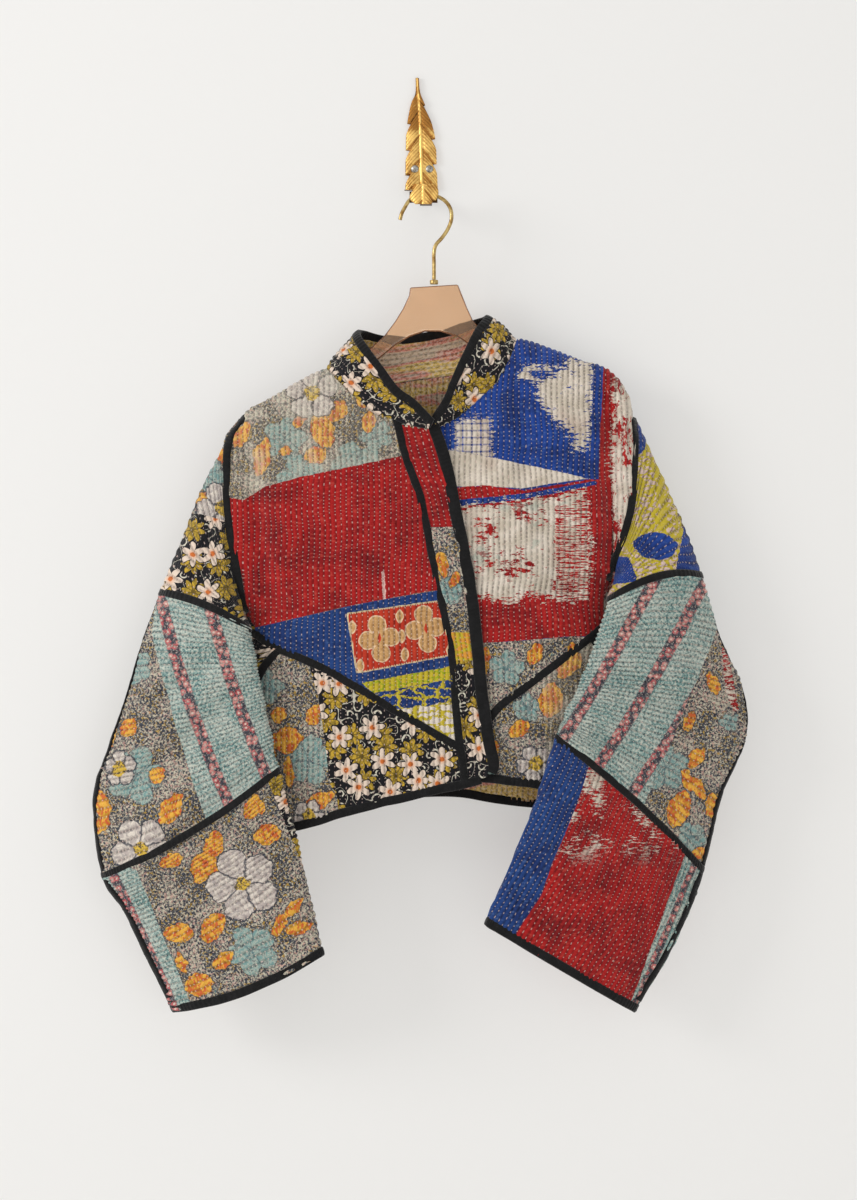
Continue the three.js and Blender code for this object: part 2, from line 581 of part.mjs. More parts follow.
addPiece('back_panel', cut(cloths.over,
  [below(underShoulder(BINDING_WIDTH + SEAM_GAP)), rightOf(RIGHT_BACK_SIDE_SEAM),
    leftOf(LEFT_BACK_SIDE_SEAM), above(BACK_HEM)],
  rooms('rightArmhole', 'leftArmhole', 'rightBackSide', 'leftBackSide', 'backHem'),
  BACK_START, BACK_REACH), FINISHES.paleFloral);

// A side panel goes round the fold at the side, from the front's side seam to the back's.
const level = (z) => [{ x: -FAR, z }, { x: FAR, z }];
function sidePanel(cloth, side, frontSeam, backSeam, diagonal, beyond) {
  const notFront = prism(beyond(frontSeam), FRONT_REACH, HANG_PLANE + SEAM_GAP / 2);
  const aboveDiagonal = prism(above(diagonal), FRONT_REACH, HANG_PLANE + SEAM_GAP / 2);
  const notBack = prism(beyond(backSeam), HANG_PLANE, BACK_REACH);
  return cut(cloth, [above(BACK_HEM), below(level(SIDE_TOP.right))],
    [notFront, aboveDiagonal, notBack, ...rooms(`${side}FrontSide`, `${side}BackSide`,
      `${side}Diagonal`, `${side}Armhole`, 'backHem')]);
}
addPiece('right_side_panel', sidePanel(cloths.over, 'right', RIGHT_FRONT_SIDE_SEAM,
  RIGHT_BACK_SIDE_SEAM, RIGHT_DIAGONAL, rightOf), FINISHES.darkFloral);
addPiece('left_side_panel', sidePanel(cloths.over, 'left', LEFT_FRONT_SIDE_SEAM,
  LEFT_BACK_SIDE_SEAM, LEFT_DIAGONAL, leftOf), FINISHES.paleFloral);

// ---- the body's bindings --------------------------------------------------------------------
const BINDINGS = [
  ['front_edge_binding', 'overBinding', 'frontEdge', [], []],
  ['placket_seam_binding', 'overBinding', 'placket', [above(RIGHT_FRONT_HEM)],
    strips('rightHem')],
  ['left_edge_binding', 'underBinding', 'underEdge', [above(LEFT_FRONT_HEM)],
    strips('leftHem')],
  ['right_diagonal_binding', 'overBinding', 'rightDiagonal', [leftOf(PLACKET_SEAM)],
    strips('rightArmhole', 'placket')],
  ['left_diagonal_binding', 'underBinding', 'leftDiagonal', [rightOf(UNDER_EDGE)],
    strips('leftArmhole', 'underEdge')],
  ['right_front_side_binding', 'overBinding', 'rightFrontSide',
    [below(RIGHT_DIAGONAL), above(BACK_HEM)], strips('rightDiagonal', 'rightHem', 'backHem')],
  ['left_front_side_binding', 'underBinding', 'leftFrontSide',
    [below(LEFT_DIAGONAL), above(BACK_HEM)], strips('leftDiagonal', 'leftHem', 'backHem')],
  ['right_back_side_binding', 'overBinding', 'rightBackSide',
    [above(BACK_HEM), below(level(SIDE_TOP.right))], strips('rightArmhole', 'backHem')],
  ['left_back_side_binding', 'overBinding', 'leftBackSide',
    [above(BACK_HEM), below(level(SIDE_TOP.left))], strips('leftArmhole', 'backHem')],
  ['right_armhole_binding', 'overBinding', 'rightArmhole', [], []],
  ['left_armhole_binding', 'underBinding', 'leftArmhole', [], []],
  ['right_front_hem_binding', 'overBinding', 'rightHem',
    [rightOf(RIGHT_FRONT_SIDE_SEAM), leftOf(FRONT_EDGE)], strips('frontEdge')],
  ['left_front_hem_binding', 'underBinding', 'leftHem',
    [leftOf(LEFT_FRONT_SIDE_SEAM), rightOf(UNDER_EDGE)], []],
];
for (const [name, cloth, own, keep, without] of BINDINGS) {
  addPiece(name, binding(cloths[cloth], STRIPS[own], keep, without), FINISHES.binding);
}

// The back's hem binding runs on round both sides to the fronts' side seams.
const betweenSideSeams = prism(rightOf(moved(RIGHT_FRONT_SIDE_SEAM, -SEAM_GAP, 0)),
  FRONT_REACH, HANG_PLANE + SEAM_GAP)
  .intersect(prism(leftOf(moved(LEFT_FRONT_SIDE_SEAM, SEAM_GAP, 0)), FRONT_REACH,
    HANG_PLANE + SEAM_GAP));
addPiece('back_hem_binding', cut(cloths.overBinding.intersect(STRIPS.backHem.body), [],
  [betweenSideSeams]), FINISHES.binding);

for (const [name, armhole, fromX, toX] of [
  ['right', 'rightArmhole', SHOULDER_SEAM.rightEnd, SHOULDER_SEAM.rightNeck],
  ['left', 'leftArmhole', SHOULDER_SEAM.leftNeck, SHOULDER_SEAM.leftEnd]]) {
  const top = SHOULDER_LINE.filter(({ x }) => x >= fromX && x <= toX);
  const outline = [...top, ...moved(top, 0, -BINDING_WIDTH).reverse()];
  addPiece(`${name}_shoulder_binding`, cut(cloths.overBinding
    .intersect(prism(outline, BACK_START, BACK_REACH)), [], rooms(armhole)), FINISHES.binding);
}

// ---- walls between two grids of points ------------------------------------------------------
// outer[i][j] and inner[i][j] face each other; a ring is closed along j.
function wallGeometry(outer, inner, ring = false) {
  const rows = outer.length;
  const sides = outer[0].length;
  const spans = ring ? sides : sides - 1;
  const faces = new FaceList();
  for (let i = 0; i < rows - 1; i += 1) {
    for (let j = 0; j < spans; j += 1) {
      const k = (j + 1) % sides;
      faces.quad(outer[i][j], outer[i + 1][j], outer[i + 1][k], outer[i][k]);
      faces.quad(inner[i][k], inner[i + 1][k], inner[i + 1][j], inner[i][j]);
    }
    if (!ring) {
      const end = sides - 1;
      faces.quad(inner[i][0], inner[i + 1][0], outer[i + 1][0], outer[i][0]);
      faces.quad(outer[i][end], outer[i + 1][end], inner[i + 1][end], inner[i][end]);
    }
  }
  for (let j = 0; j < spans; j += 1) {
    const k = (j + 1) % sides;
    const low = rows - 1;
    faces.quad(outer[0][j], outer[0][k], inner[0][k], inner[0][j]);
    faces.quad(inner[low][j], inner[low][k], outer[low][k], outer[low][j]);
  }
  const solid = toManifold(faces.geometry());
  return solid.volume() > 0 ? solid : toManifold(turned(faces.geometry()));
}

function turned(geometry) {
  const points = geometry.attributes.position;
  const corners = new FaceList();
  for (let i = 0; i < points.count; i += 3) {
    const [a, b, c] = [0, 1, 2].map((k) =>
      new THREE.Vector3().fromBufferAttribute(points, i + k));
    corners.triangle(a, c, b);
  }
  return corners.geometry();
}

// ---- sleeves --------------------------------------------------------------------------------
// A point of a sleeve at ring `at` (a real number) and angle v: 0 is the outer fold,
// a quarter turn the front, half a turn the inner fold. `inset` moves it inwards.
function ringValue(sleeve, column, at) {
  const rows = sleeve.rings.map((ring, index) => ({ index, value: ring[column] }));
  const last = rows.length - 1;
  const past = Math.max(0, at - last); // straight on beyond the cuff
  return smooth(rows, 'index', 'value', at)
    + past * (rows[last].value - rows[last - 1].value);
}

function sleeveRing(sleeve, at, v, inset) {
  const value = (column) => ringValue(sleeve, column, at);
  const outer = new THREE.Vector3(value('outerX'), value('outerY'), value('outerZ'));
  const inner = new THREE.Vector3(value('innerX'), value('innerY'), value('innerZ'));
  const chord = inner.clone().sub(outer);
  const half = chord.length() / 2 - inset;
  const middle = outer.clone().add(inner).multiplyScalar(0.5);
  const bulge = (v <= Math.PI && v >= 0 ? value('front') : value('back')) - inset;
  const point = middle.addScaledVector(chord.normalize(), -half * Math.cos(v));
  point.y -= bulge * Math.sin(v);
  point.z += value('bow') * Math.sin(v) ** 2;
  return point;
}

// The same angle on the body's armhole, on the sleeve's side of the armhole binding.
function armholePoint(sleeve, v, inset) {
  const { armhole, outward } = sleeve;
  const high = armhole[0].z - ARMHOLE_TUCK - inset;
  const low = underarmZ(armhole) + ARMHOLE_TUCK + inset;
  const z = mix(high, low, (1 - Math.cos(v)) / 2);
  const line = borderX(outward < 0 ? RIGHT_BORDER : LEFT_BORDER, z);
  const side = v > Math.PI || v < 0 ? 'back' : 'front';
  const depth = Math.max(0, bodyDepth(line, z, side) - inset)
    * Math.min(1, Math.abs(Math.sin(v)) * ARMHOLE_MOUTH);
  return new THREE.Vector3(line + outward * (BINDING_WIDTH / 2 + SEAM_GAP),
    HANG_PLANE + (side === 'back' ? depth : -depth), z);
}

function sleevePoint(sleeve, at, v, inset) {
  const turn = v > Math.PI ? v - 2 * Math.PI : v;
  const point = sleeveRing(sleeve, at, turn, inset);
  if (at < ARMHOLE_BLEND) {
    const fade = (1 - at / ARMHOLE_BLEND) ** 2;
    const shift = armholePoint(sleeve, turn, inset).sub(sleeveRing(sleeve, 0, turn, inset));
    point.addScaledVector(shift, fade);
  }
  return point;
}

// Rings per millimetre along the sleeve at one place.
function ringsPerMillimetre(sleeve, at, v) {
  const step = 0.05;
  const back = sleevePoint(sleeve, at - step, v, 0);
  return 2 * step / sleevePoint(sleeve, at + step, v, 0).distanceTo(back);
}

function turnPerMillimetre(sleeve, at, v) {
  const step = 0.02;
  return 2 * step / sleevePoint(sleeve, at, v + step, 0)
    .distanceTo(sleevePoint(sleeve, at, v - step, 0));
}

// A ring of points round the sleeve, `past` millimetres beyond ring `at`.
function ringPoints(sleeve, at, past, inset) {
  return Array.from({ length: SLEEVE_SIDES }, (_, j) => {
    const v = 2 * Math.PI * j / SLEEVE_SIDES;
    const shifted = at + past * ringsPerMillimetre(sleeve, at, v);
    return sleevePoint(sleeve, shifted, v, inset);
  });
}

// The whole sleeve's cloth as one tube.
function sleeveTube(sleeve, outside, inside) {
  const rows = sleeve.rings.map((_, at) => at);
  return wallGeometry(rows.map((at) => ringPoints(sleeve, at, 0, -outside)),
    rows.map((at) => ringPoints(sleeve, at, 0, inside)), true);
}

const CUT_REACH = 8; // cutting volumes reach this far past the cloth
function outwardFacing(geometry) {
  const solid = toManifold(geometry);
  return solid.volume() > 0 ? solid : toManifold(turned(geometry));
}

// A solid slice of the sleeve between two distances from a ring.
function slice(sleeve, at, from, to) {
  const ends = [from, to].map((past) => ringPoints(sleeve, at, past, -CUT_REACH));
  const middles = ends.map((ring) => ring.reduce((sum, point) => sum.add(point),
    new THREE.Vector3()).divideScalar(SLEEVE_SIDES));
  const faces = new FaceList();
  for (let j = 0; j < SLEEVE_SIDES; j += 1) {
    const k = (j + 1) % SLEEVE_SIDES;
    faces.quad(ends[0][j], ends[1][j], ends[1][k], ends[0][k]);
    faces.triangle(middles[0], ends[0][j], ends[0][k]);
    faces.triangle(middles[1], ends[1][k], ends[1][j]);
  }
  return outwardFacing(faces.geometry());
}

// A solid fin along the sleeve at an angle, `half` millimetres to each side of it.
function fin(sleeve, fromRing, toRing, angle, half) {
  const steps = 2 * (toRing - fromRing);
  const sections = Array.from({ length: steps + 1 }, (_, i) => {
    const at = mix(fromRing, toRing, i / steps);
    const v = angle(at);
    const turn = half * turnPerMillimetre(sleeve, at, v);
    return [[v - turn, -CUT_REACH], [v + turn, -CUT_REACH], [v + turn, CUT_REACH],
      [v - turn, CUT_REACH]].map(([corner, inset]) => sleevePoint(sleeve, at, corner, inset));
  });
  const faces = new FaceList();
  for (let i = 0; i < steps; i += 1) {
    for (let j = 0; j < 4; j += 1) {
      const k = (j + 1) % 4;
      faces.quad(sections[i][j], sections[i + 1][j], sections[i + 1][k], sections[i][k]);
    }
  }
  const end = sections[steps];
  faces.quad(sections[0][0], sections[0][1], sections[0][2], sections[0][3]);
  faces.quad(end[3], end[2], end[1], end[0]);
  return outwardFacing(faces.geometry());
}

const outerSeam = (sleeve) => (at) =>
  smooth(sleeve.seam.map((value, index) => ({ index, value })), 'index', 'value', at);
const SLIVER = 50; // a cut-off corner of less than this volume isn't a piece
const bodiesFromTheTop = (solid) => solid.decompose().filter((body) => body.volume() > SLIVER)
  .sort((a, b) => b.boundingBox().max[2] - a.boundingBox().max[2]);

const SLEEVE_FINISHES = {
  right: [FINISHES.darkFloral, FINISHES.stripedAqua, FINISHES.paleFloral],
  left: [FINISHES.blue, FINISHES.stripedAqua, FINISHES.redPatch],
};
for (const sleeve of [RIGHT_SLEEVE, LEFT_SLEEVE]) {
  const { name, armhole, outward } = sleeve;
  const cuff = sleeve.rings.length - 1;
  const half = BINDING_WIDTH / 2;
  const seams = (margin) => [
    slice(sleeve, CAP_END, -half - margin, half + margin),
    slice(sleeve, MIDDLE_END, -half - margin, half + margin),
    slice(sleeve, cuff, -EDGE_BINDING_WIDTH - margin, CUT_REACH),
  ];
  const underarmSeam = fin(sleeve, 0, CAP_END, () => Math.PI, SEAM_GAP / 2);
  const outerFin = (margin) => fin(sleeve, CAP_END, cuff, outerSeam(sleeve), half + margin);
  const bodySide = prism(sleeveSide(armhole, outward, half + SEAM_GAP), FRONT_REACH,
    BACK_REACH);
  const belowArmhole = prism(below(level(underarmZ(armhole) - half)), FRONT_REACH,
    BACK_REACH);
  const outside = bodySide.add(belowArmhole);

  const cloth = [...seams(SEAM_GAP), outerFin(SEAM_GAP), underarmSeam]
    .reduce((rest, volume) => rest.subtract(volume), sleeveTube(sleeve, 0, WALL))
    .intersect(outside);
  bodiesFromTheTop(cloth).forEach((body, at) => addPiece(
    `${name}_sleeve_${['cap', 'middle', 'lower'][at]}`, toGeometry(body),
    SLEEVE_FINISHES[name][at]));

  const thick = sleeveTube(sleeve, BINDING_RISE, WALL + BINDING_SINK).intersect(outside);
  seams(0).forEach((volume, at) => addPiece(
    `${name}_${['cap_seam', 'elbow_seam', 'cuff'][at]}_binding`,
    toGeometry(thick.intersect(volume)), FINISHES.binding));
  const alongArm = seams(SEAM_GAP).reduce((rest, volume) => rest.subtract(volume),
    thick.intersect(outerFin(0)));
  bodiesFromTheTop(alongArm).slice(-2).forEach((body, at) => addPiece(
    `${name}_outer_seam_binding_${['middle', 'lower'][at]}`, toGeometry(body),
    FINISHES.binding));
}

// ---- stand collar -------------------------------------------------------------------------
const COLLAR_STEPS = 16;
const COLLAR_CUT_STEPS = 23; // the cut's own steps cross the collar's away from its corners
const COLLAR_BULGE = 3;
const LEAST_BARE_SHARE = 0.3; // of the collar's height, where it runs out at the front
const collarSeam = new THREE.CatmullRomCurve3(COLLAR.map(({ side, seamX, seamZ }, at) =>
  bodyPoint(seamX, seamZ, side === 'front' && at > FIRST_BACK ? 'underlap' : side)));
const collarTop = new THREE.CatmullRomCurve3(COLLAR.map(({ topX, topY, topZ }) =>
  new THREE.Vector3(topX, topY, topZ)));

function collarFrame(share) {
  const seam = collarSeam.getPoint(share);
  const top = collarTop.getPoint(share);
  const up = top.clone().sub(seam);
  const tangent = collarSeam.getTangent(share).add(collarTop.getTangent(share));
  const outward = new THREE.Vector3().crossVectors(up, tangent).normalize();
  return { seam, top, up, outward, height: up.length() };
}

// A band of the collar between two heights, given as functions of the collar's height.
function collarBand(low, high, outside, inside, steps = COLLAR_STEPS) {
  const gridAt = (offset) => Array.from({ length: steps + 1 }, (_, i) => {
    const { seam, up, outward, height } = collarFrame(i / steps);
    return Array.from({ length: 3 }, (__, j) => {
      const v = mix(low(height), high(height), j / 2) / height;
      return seam.clone().addScaledVector(up, v)
        .addScaledVector(outward, offset + COLLAR_BULGE * Math.sin(Math.PI * v));
    });
  });
  return wallGeometry(gridAt(outside), gridAt(-inside));
}
const bodyBelowNeck = prism(below(FRONT_NECK), FRONT_REACH, HANG_PLANE + SEAM_GAP)
  .add(prism(below(BACK_NECK), HANG_PLANE, BACK_REACH));
const collarEdge = (margin) => collarBand(
  (height) => Math.max(height - EDGE_BINDING_WIDTH, height * LEAST_BARE_SHARE) - margin,
  (height) => height + CUT_REACH, CUT_REACH, CUT_REACH, COLLAR_CUT_STEPS);
const collarPiece = (solid) => toGeometry(solid.subtract(bodyBelowNeck).decompose()
  .sort((a, b) => b.volume() - a.volume())[0]);
const fromSeam = () => SEAM_GAP;
addPiece('stand_collar', collarPiece(collarBand(fromSeam, (height) => height, 0, WALL)
  .subtract(collarEdge(SEAM_GAP))), FINISHES.darkFloral);
addPiece('collar_edge_binding', collarPiece(collarBand(fromSeam,
  (height) => height + BINDING_RISE, BINDING_RISE, WALL + BINDING_SINK)
  .intersect(collarEdge(0))), FINISHES.binding);

// ---- hanger ---------------------------------------------------------------------------------
const hangerPlate = prism(HANGER_OUTLINE, HANG_PLANE - HANGER_THICKNESS / 2,
  HANG_PLANE + HANGER_THICKNESS / 2);
const roundRod = (radius, bottom, top) => {
  const geometry = new THREE.CylinderGeometry(radius, radius, top - bottom, 16);
  geometry.rotateX(Math.PI / 2);
  geometry.translate(FERRULE.x, HANG_PLANE, (top + bottom) / 2);
  return toManifold(geometry);
};
addPiece('hanger_plate', toGeometry(hangerPlate), FINISHES.amber);
addPiece('hanger_ferrule', toGeometry(roundRod(FERRULE.radius, FERRULE.bottom, FERRULE.top)),
  FINISHES.gold);

const wireCurve = new THREE.CatmullRomCurve3(WIRE_ROUTE.map(({ x, z }) =>
  new THREE.Vector3(x, HANG_PLANE, z)));
const wireSection = new THREE.Shape(Array.from({ length: 8 }, (_, i) =>
  new THREE.Vector2(WIRE_RADIUS * Math.cos(i * Math.PI / 4),
    WIRE_RADIUS * Math.sin(i * Math.PI / 4))));
const wire = new THREE.ExtrudeGeometry(wireSection, { steps: 32, bevelEnabled: false,
  extrudePath: wireCurve });
addPiece('hanger_hook', toGeometry(toManifold(wire).subtract(
  roundRod(FERRULE.radius + SEAM_GAP, FERRULE.bottom - CUT_REACH, FERRULE.top + SEAM_GAP))),
FINISHES.gold);

// ---- wall hook: a leaf with its foot curled forward, and two screws ----------------------------
const alongX = (section, { x, halfWidth }) => {
  const shape = new THREE.Shape(section.map(({ y, z }) => new THREE.Vector2(y, z)));
  const geometry = new THREE.ExtrudeGeometry(shape, { depth: 2 * halfWidth,
    bevelEnabled: false });
  geometry.applyMatrix4(new THREE.Matrix4().makeBasis(new THREE.Vector3(0, 1, 0),
    new THREE.Vector3(0, 0, 1), new THREE.Vector3(1, 0, 0)));
  geometry.translate(x - halfWidth, 0, 0);
  return toManifold(geometry);
};
const leaf = prism(LEAF_OUTLINE, -LEAF_THICKNESS, 0);
const rib = prism(RIB_OUTLINE, -LEAF_THICKNESS - LEAF_RIB, -RIB_ROOT);
addPiece('wall_hook', toGeometry(leaf.add(rib).add(alongX(FOOT_SECTION, FOOT))
  .add(alongX(LIP_SECTION, LIP))), FINISHES.brass);
for (const [name, side] of [['right', -1], ['left', 1]]) {
  const profile = [[0, 0], [SCREW.headRadius, 0], [SCREW.headRadius, SCREW.headHeight / 3],
    [SCREW.headRadius / 2, SCREW.headHeight * 0.9], [0, SCREW.headHeight]]
    .map(([radius, height]) => new THREE.Vector2(radius, height));
  const head = new THREE.LatheGeometry(profile, 16);
  head.rotateX(Math.PI);
  head.translate(side * SCREW.spacing / 2, -LEAF_THICKNESS - SEAM_GAP, 0);
  addPiece(`wall_screw_${name}`, toGeometry(outwardFacing(head.toNonIndexed())),
    FINISHES.steel);
}

export default group;
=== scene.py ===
"""The looks of a quilted patchwork jacket that hangs from a wall hook on a clothes hanger.

The patterns, the cloth and the trimmings are in millimetres, as a maker would write them, and
are turned into metres where a mesh is made. Right and left are the wearer's: the right sleeve
is at negative x, and the jacket's front faces -y.
"""

import functools
import math

import bmesh
import bpy
import numpy as np
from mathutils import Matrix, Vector


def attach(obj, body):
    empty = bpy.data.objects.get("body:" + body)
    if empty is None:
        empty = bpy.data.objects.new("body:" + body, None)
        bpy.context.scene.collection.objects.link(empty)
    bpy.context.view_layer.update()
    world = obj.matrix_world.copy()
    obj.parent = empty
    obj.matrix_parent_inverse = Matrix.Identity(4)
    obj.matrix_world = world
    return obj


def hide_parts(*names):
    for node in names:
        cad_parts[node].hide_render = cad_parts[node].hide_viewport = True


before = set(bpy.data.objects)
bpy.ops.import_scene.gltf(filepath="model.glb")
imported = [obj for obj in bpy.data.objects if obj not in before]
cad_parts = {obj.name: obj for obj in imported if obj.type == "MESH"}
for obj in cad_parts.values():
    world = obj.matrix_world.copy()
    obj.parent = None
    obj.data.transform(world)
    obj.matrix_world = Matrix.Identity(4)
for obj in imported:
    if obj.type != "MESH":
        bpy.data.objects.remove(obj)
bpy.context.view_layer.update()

bl_info = {
    "name": "Quilted patchwork jacket",
    "version": (1, 0, 0),
    "blender": (4, 5, 0),
    "location": "View3D > Sidebar > Jacket",
    "description": "Makes the cloth, bindings, hanger and wall hook of a quilted jacket",
    "category": "Object",
}

MM = 0.001

# ---- the body's cut ----
HANG_PLANE = -52.0
SHOULDER_HALF_DEPTH = 13.0
SHOULDER_DROP = 22.0
CHEST_HALF_DEPTH = 45.0
CHEST_REACH = 110.0
BACK_SHARE = 0.85
SIDE_POWER = 2.4
ARMHOLE_SHARE = 0.7
UNDERARM_ROUND = 45.0
UNDERLAP = 5.0
UNDERLAP_REACH = 16.0
UNDERLAP_FADE = 50.0
WALL = 2.4
BINDING_WIDTH = 8.0
FRONT_BINDING_WIDTH = 12.0
EDGE_BINDING_WIDTH = 9.0
BINDING_RISE = 1.5
SHOULDER_SEAM_DROP = 4.8  # the shoulder seam lies this far down the back
TUCK = 1.6  # cloth stops this far from a seam's line, under its binding


def table(columns, *rows):
    """Named columns of a table, each as an array."""
    return dict(zip(columns.split(), np.array(rows, float).T))


RIDGE = table(
    "x z", (-205, -284), (-195, -272), (-182, -258), (-172, -246), (-152, -236),
    (-96, -206), (0, -190), (95, -176), (138, -190), (178, -204), (198, -218),
    (207, -236), (213, -256), (225, -300))
RIGHT_ARMHOLE = table(
    "x z", (-179, -255), (-190, -268), (-194, -283), (-195, -318), (-194, -348),
    (-190, -378), (-186, -398), (-182, -425), (-177, -450))
RIGHT_SIDE = table(
    "x z", (-175, -462), (-174, -478), (-178, -500), (-186, -540), (-194, -585),
    (-199, -635), (-201, -690))
LEFT_ARMHOLE = table(
    "x z", (213, -258), (214, -278), (213, -298), (211, -328), (208, -348),
    (203, -368), (196, -388), (191, -404), (188, -418))
LEFT_SIDE = table(
    "x z", (186, -430), (185, -445), (188, -470), (196, -510), (204, -560),
    (210, -610), (212, -690))
FRONT_EDGE = table(
    "x z", (10, -262), (21, -293), (28, -323), (35, -358), (41, -388), (48, -428),
    (54, -478), (58, -518), (62, -553), (67, -583), (71, -600), (68, -610))
PLACKET_SEAM = table(
    "x z", (-26, -255), (-15, -298), (-4, -328), (3, -358), (9, -388), (15, -418),
    (21, -448), (27, -478), (31, -508), (33, -538), (36, -568), (40, -598), (43, -625))
RIGHT_DIAGONAL = table(
    "x z", (-184, -462), (-164, -474), (-142, -487), (-122, -495), (-92, -509),
    (-62, -526), (-22, -550), (18, -573), (44, -588))
LEFT_DIAGONAL = table(
    "x z", (28, -590), (63, -560), (78, -543), (98, -528), (118, -513), (138, -498),
    (158, -483), (178, -467), (194, -452))
RIGHT_FRONT_SIDE_SEAM = table(
    "x z", (-138, -480), (-144, -488), (-160, -509), (-172, -540), (-180, -590),
    (-184, -640), (-186, -690))
LEFT_FRONT_SIDE_SEAM = table(
    "x z", (166, -466), (173, -480), (182, -510), (190, -560), (196, -610),
    (198, -660))
RIGHT_BACK_SIDE_SEAM = table(
    "x z", (-168, -440), (-164, -480), (-168, -510), (-176, -560), (-184, -630),
    (-186, -690))
LEFT_BACK_SIDE_SEAM = table(
    "x z", (178, -408), (174, -450), (179, -490), (188, -550), (195, -610),
    (198, -670))
RIGHT_FRONT_HEM = table(
    "x z", (-230, -682), (-186, -675), (-160, -669), (-122, -662), (-82, -650),
    (-42, -639), (-22, -635), (18, -625), (52, -618), (64, -613))
LEFT_FRONT_HEM = table(
    "x z", (20, -610), (75, -616), (118, -621), (160, -629), (198, -641), (240, -642))
BACK_HEM = table(
    "x z", (-230, -682), (-186, -675), (-120, -655), (-40, -637), (-2, -633),
    (38, -633), (78, -640), (118, -644), (160, -642), (198, -641), (240, -642))
UNDER_EDGE = table(
    "x z", (12, -260), (4, -290), (2, -323), (8, -358), (13, -388), (19, -428),
    (24, -478), (28, -518), (32, -553), (36, -585), (39, -622))

# The collar from its right front end round the back of the neck to its left end.
# side: 0 the right front, 1 the back, 2 the left front.
COLLAR = table(
    "side seamX seamZ topX topZ topY",
    (0, 8, -269, 12, -259, -91), (0, -20, -264, -5, -241, -90),
    (0, -48, -251, -24, -226, -88), (0, -72, -232, -41, -203, -82),
    (0, -89, -214, -56, -182, -72), (0, -96, -206, -63, -169, -56),
    (1, -82, -215, -58, -167, -42), (1, -45, -221, -33, -172, -29),
    (1, 0, -216, 4, -168, -25), (1, 45, -208, 38, -160, -29),
    (1, 82, -190, 59, -154, -42), (2, 95, -177, 63, -154, -56),
    (2, 88, -197, 53, -168, -70), (2, 73, -223, 42, -190, -78),
    (2, 52, -243, 31, -213, -82), (2, 35, -257, 22, -236, -84),
    (2, 12, -268, 9, -257, -84))
COLLAR_BULGE = 3.0

FRONT_FOLDS = table(
    "topX topZ endX endZ halfWidth depth",
    (187, -215, 190, -420, 9, 9), (203, -232, 206, -380, 8, -3),
    (-176, -270, -150, -470, 11, 5), (-120, -300, -70, -500, 22, 4),
    (94, -205, 106, -350, 9, 4), (110, -300, 150, -470, 18, 3), (-30, -400, -60, -600, 24, -3),
    (-95, -230, -104, -420, 12, -2.5), (60, -330, 88, -600, 15, -3))

# ---- the sleeves' cut: one row for each ring, from the armhole to the cuff ----
RING_COLUMNS = "outerX outerZ outerY innerX innerZ innerY front back bow seam"
RIGHT_SLEEVE = {
    "name": "right", "armhole": RIGHT_ARMHOLE, "outward": -1,
    "rings": table(
        RING_COLUMNS,
        (-183, -257, -52, -181, -450, -52, 20, 17, 0, 0),
        (-215, -316, -52, -178, -456, -67, 20, 17, 0, 0),
        (-239, -373, -53, -175, -461, -79, 20, 17, 3, 0),
        (-262, -430, -54, -170, -466, -87, 20, 16, 6, -0.3),
        (-279, -478, -55, -166, -488, -95, 19, 15, 3, -0.25),
        (-297, -538, -56, -160, -515, -101, 18, 14, 0, -0.18),
        (-314, -588, -57, -154, -544, -104, 17, 13, -3, -0.1),
        (-328, -638, -58, -148, -574, -108, 17, 13, -6, 0.0),
        (-319, -714, -60, -141, -605, -110, 17, 13, -9, 0.16),
        (-297, -750, -62, -130, -646, -110, 17, 13, -6, 0.2),
        (-274, -798, -62, -117, -700, -107, 17, 14, -6, 0.22),
        (-248, -850, -62, -97, -789, -102, 17, 15, -9, 0.24)),
}
LEFT_SLEEVE = {
    "name": "left", "armhole": LEFT_ARMHOLE, "outward": 1,
    "rings": table(
        RING_COLUMNS,
        (217, -259, -52, 192, -418, -52, 20, 17, 0, 0),
        (240, -312, -52, 191, -424, -66, 20, 17, 3, 0),
        (262, -365, -53, 188, -430, -78, 20, 17, 6, 0),
        (280, -413, -54, 185, -436, -87, 20, 16, 10, -0.3),
        (297, -472, -55, 174, -470, -96, 19, 15, 9, -0.25),
        (321, -530, -56, 161, -505, -103, 18, 14, 8, -0.2),
        (323, -576, -57, 149, -532, -106, 17, 13, 8, -0.12),
        (299, -634, -58, 139, -556, -110, 17, 13, 8, -0.05),
        (281, -708, -60, 132, -573, -112, 17, 13, 8, 0.14),
        (267, -748, -62, 115, -628, -112, 17, 13, 5, 0.2),
        (244, -796, -62, 92, -686, -109, 17, 14, 2, 0.22),
        (212, -850, -62, 62, -759, -105, 17, 15, 0, 0.24)),
}
CAP_END = 3
MIDDLE_END = 8
CUFF = 11
RING_TUCK = 0.03

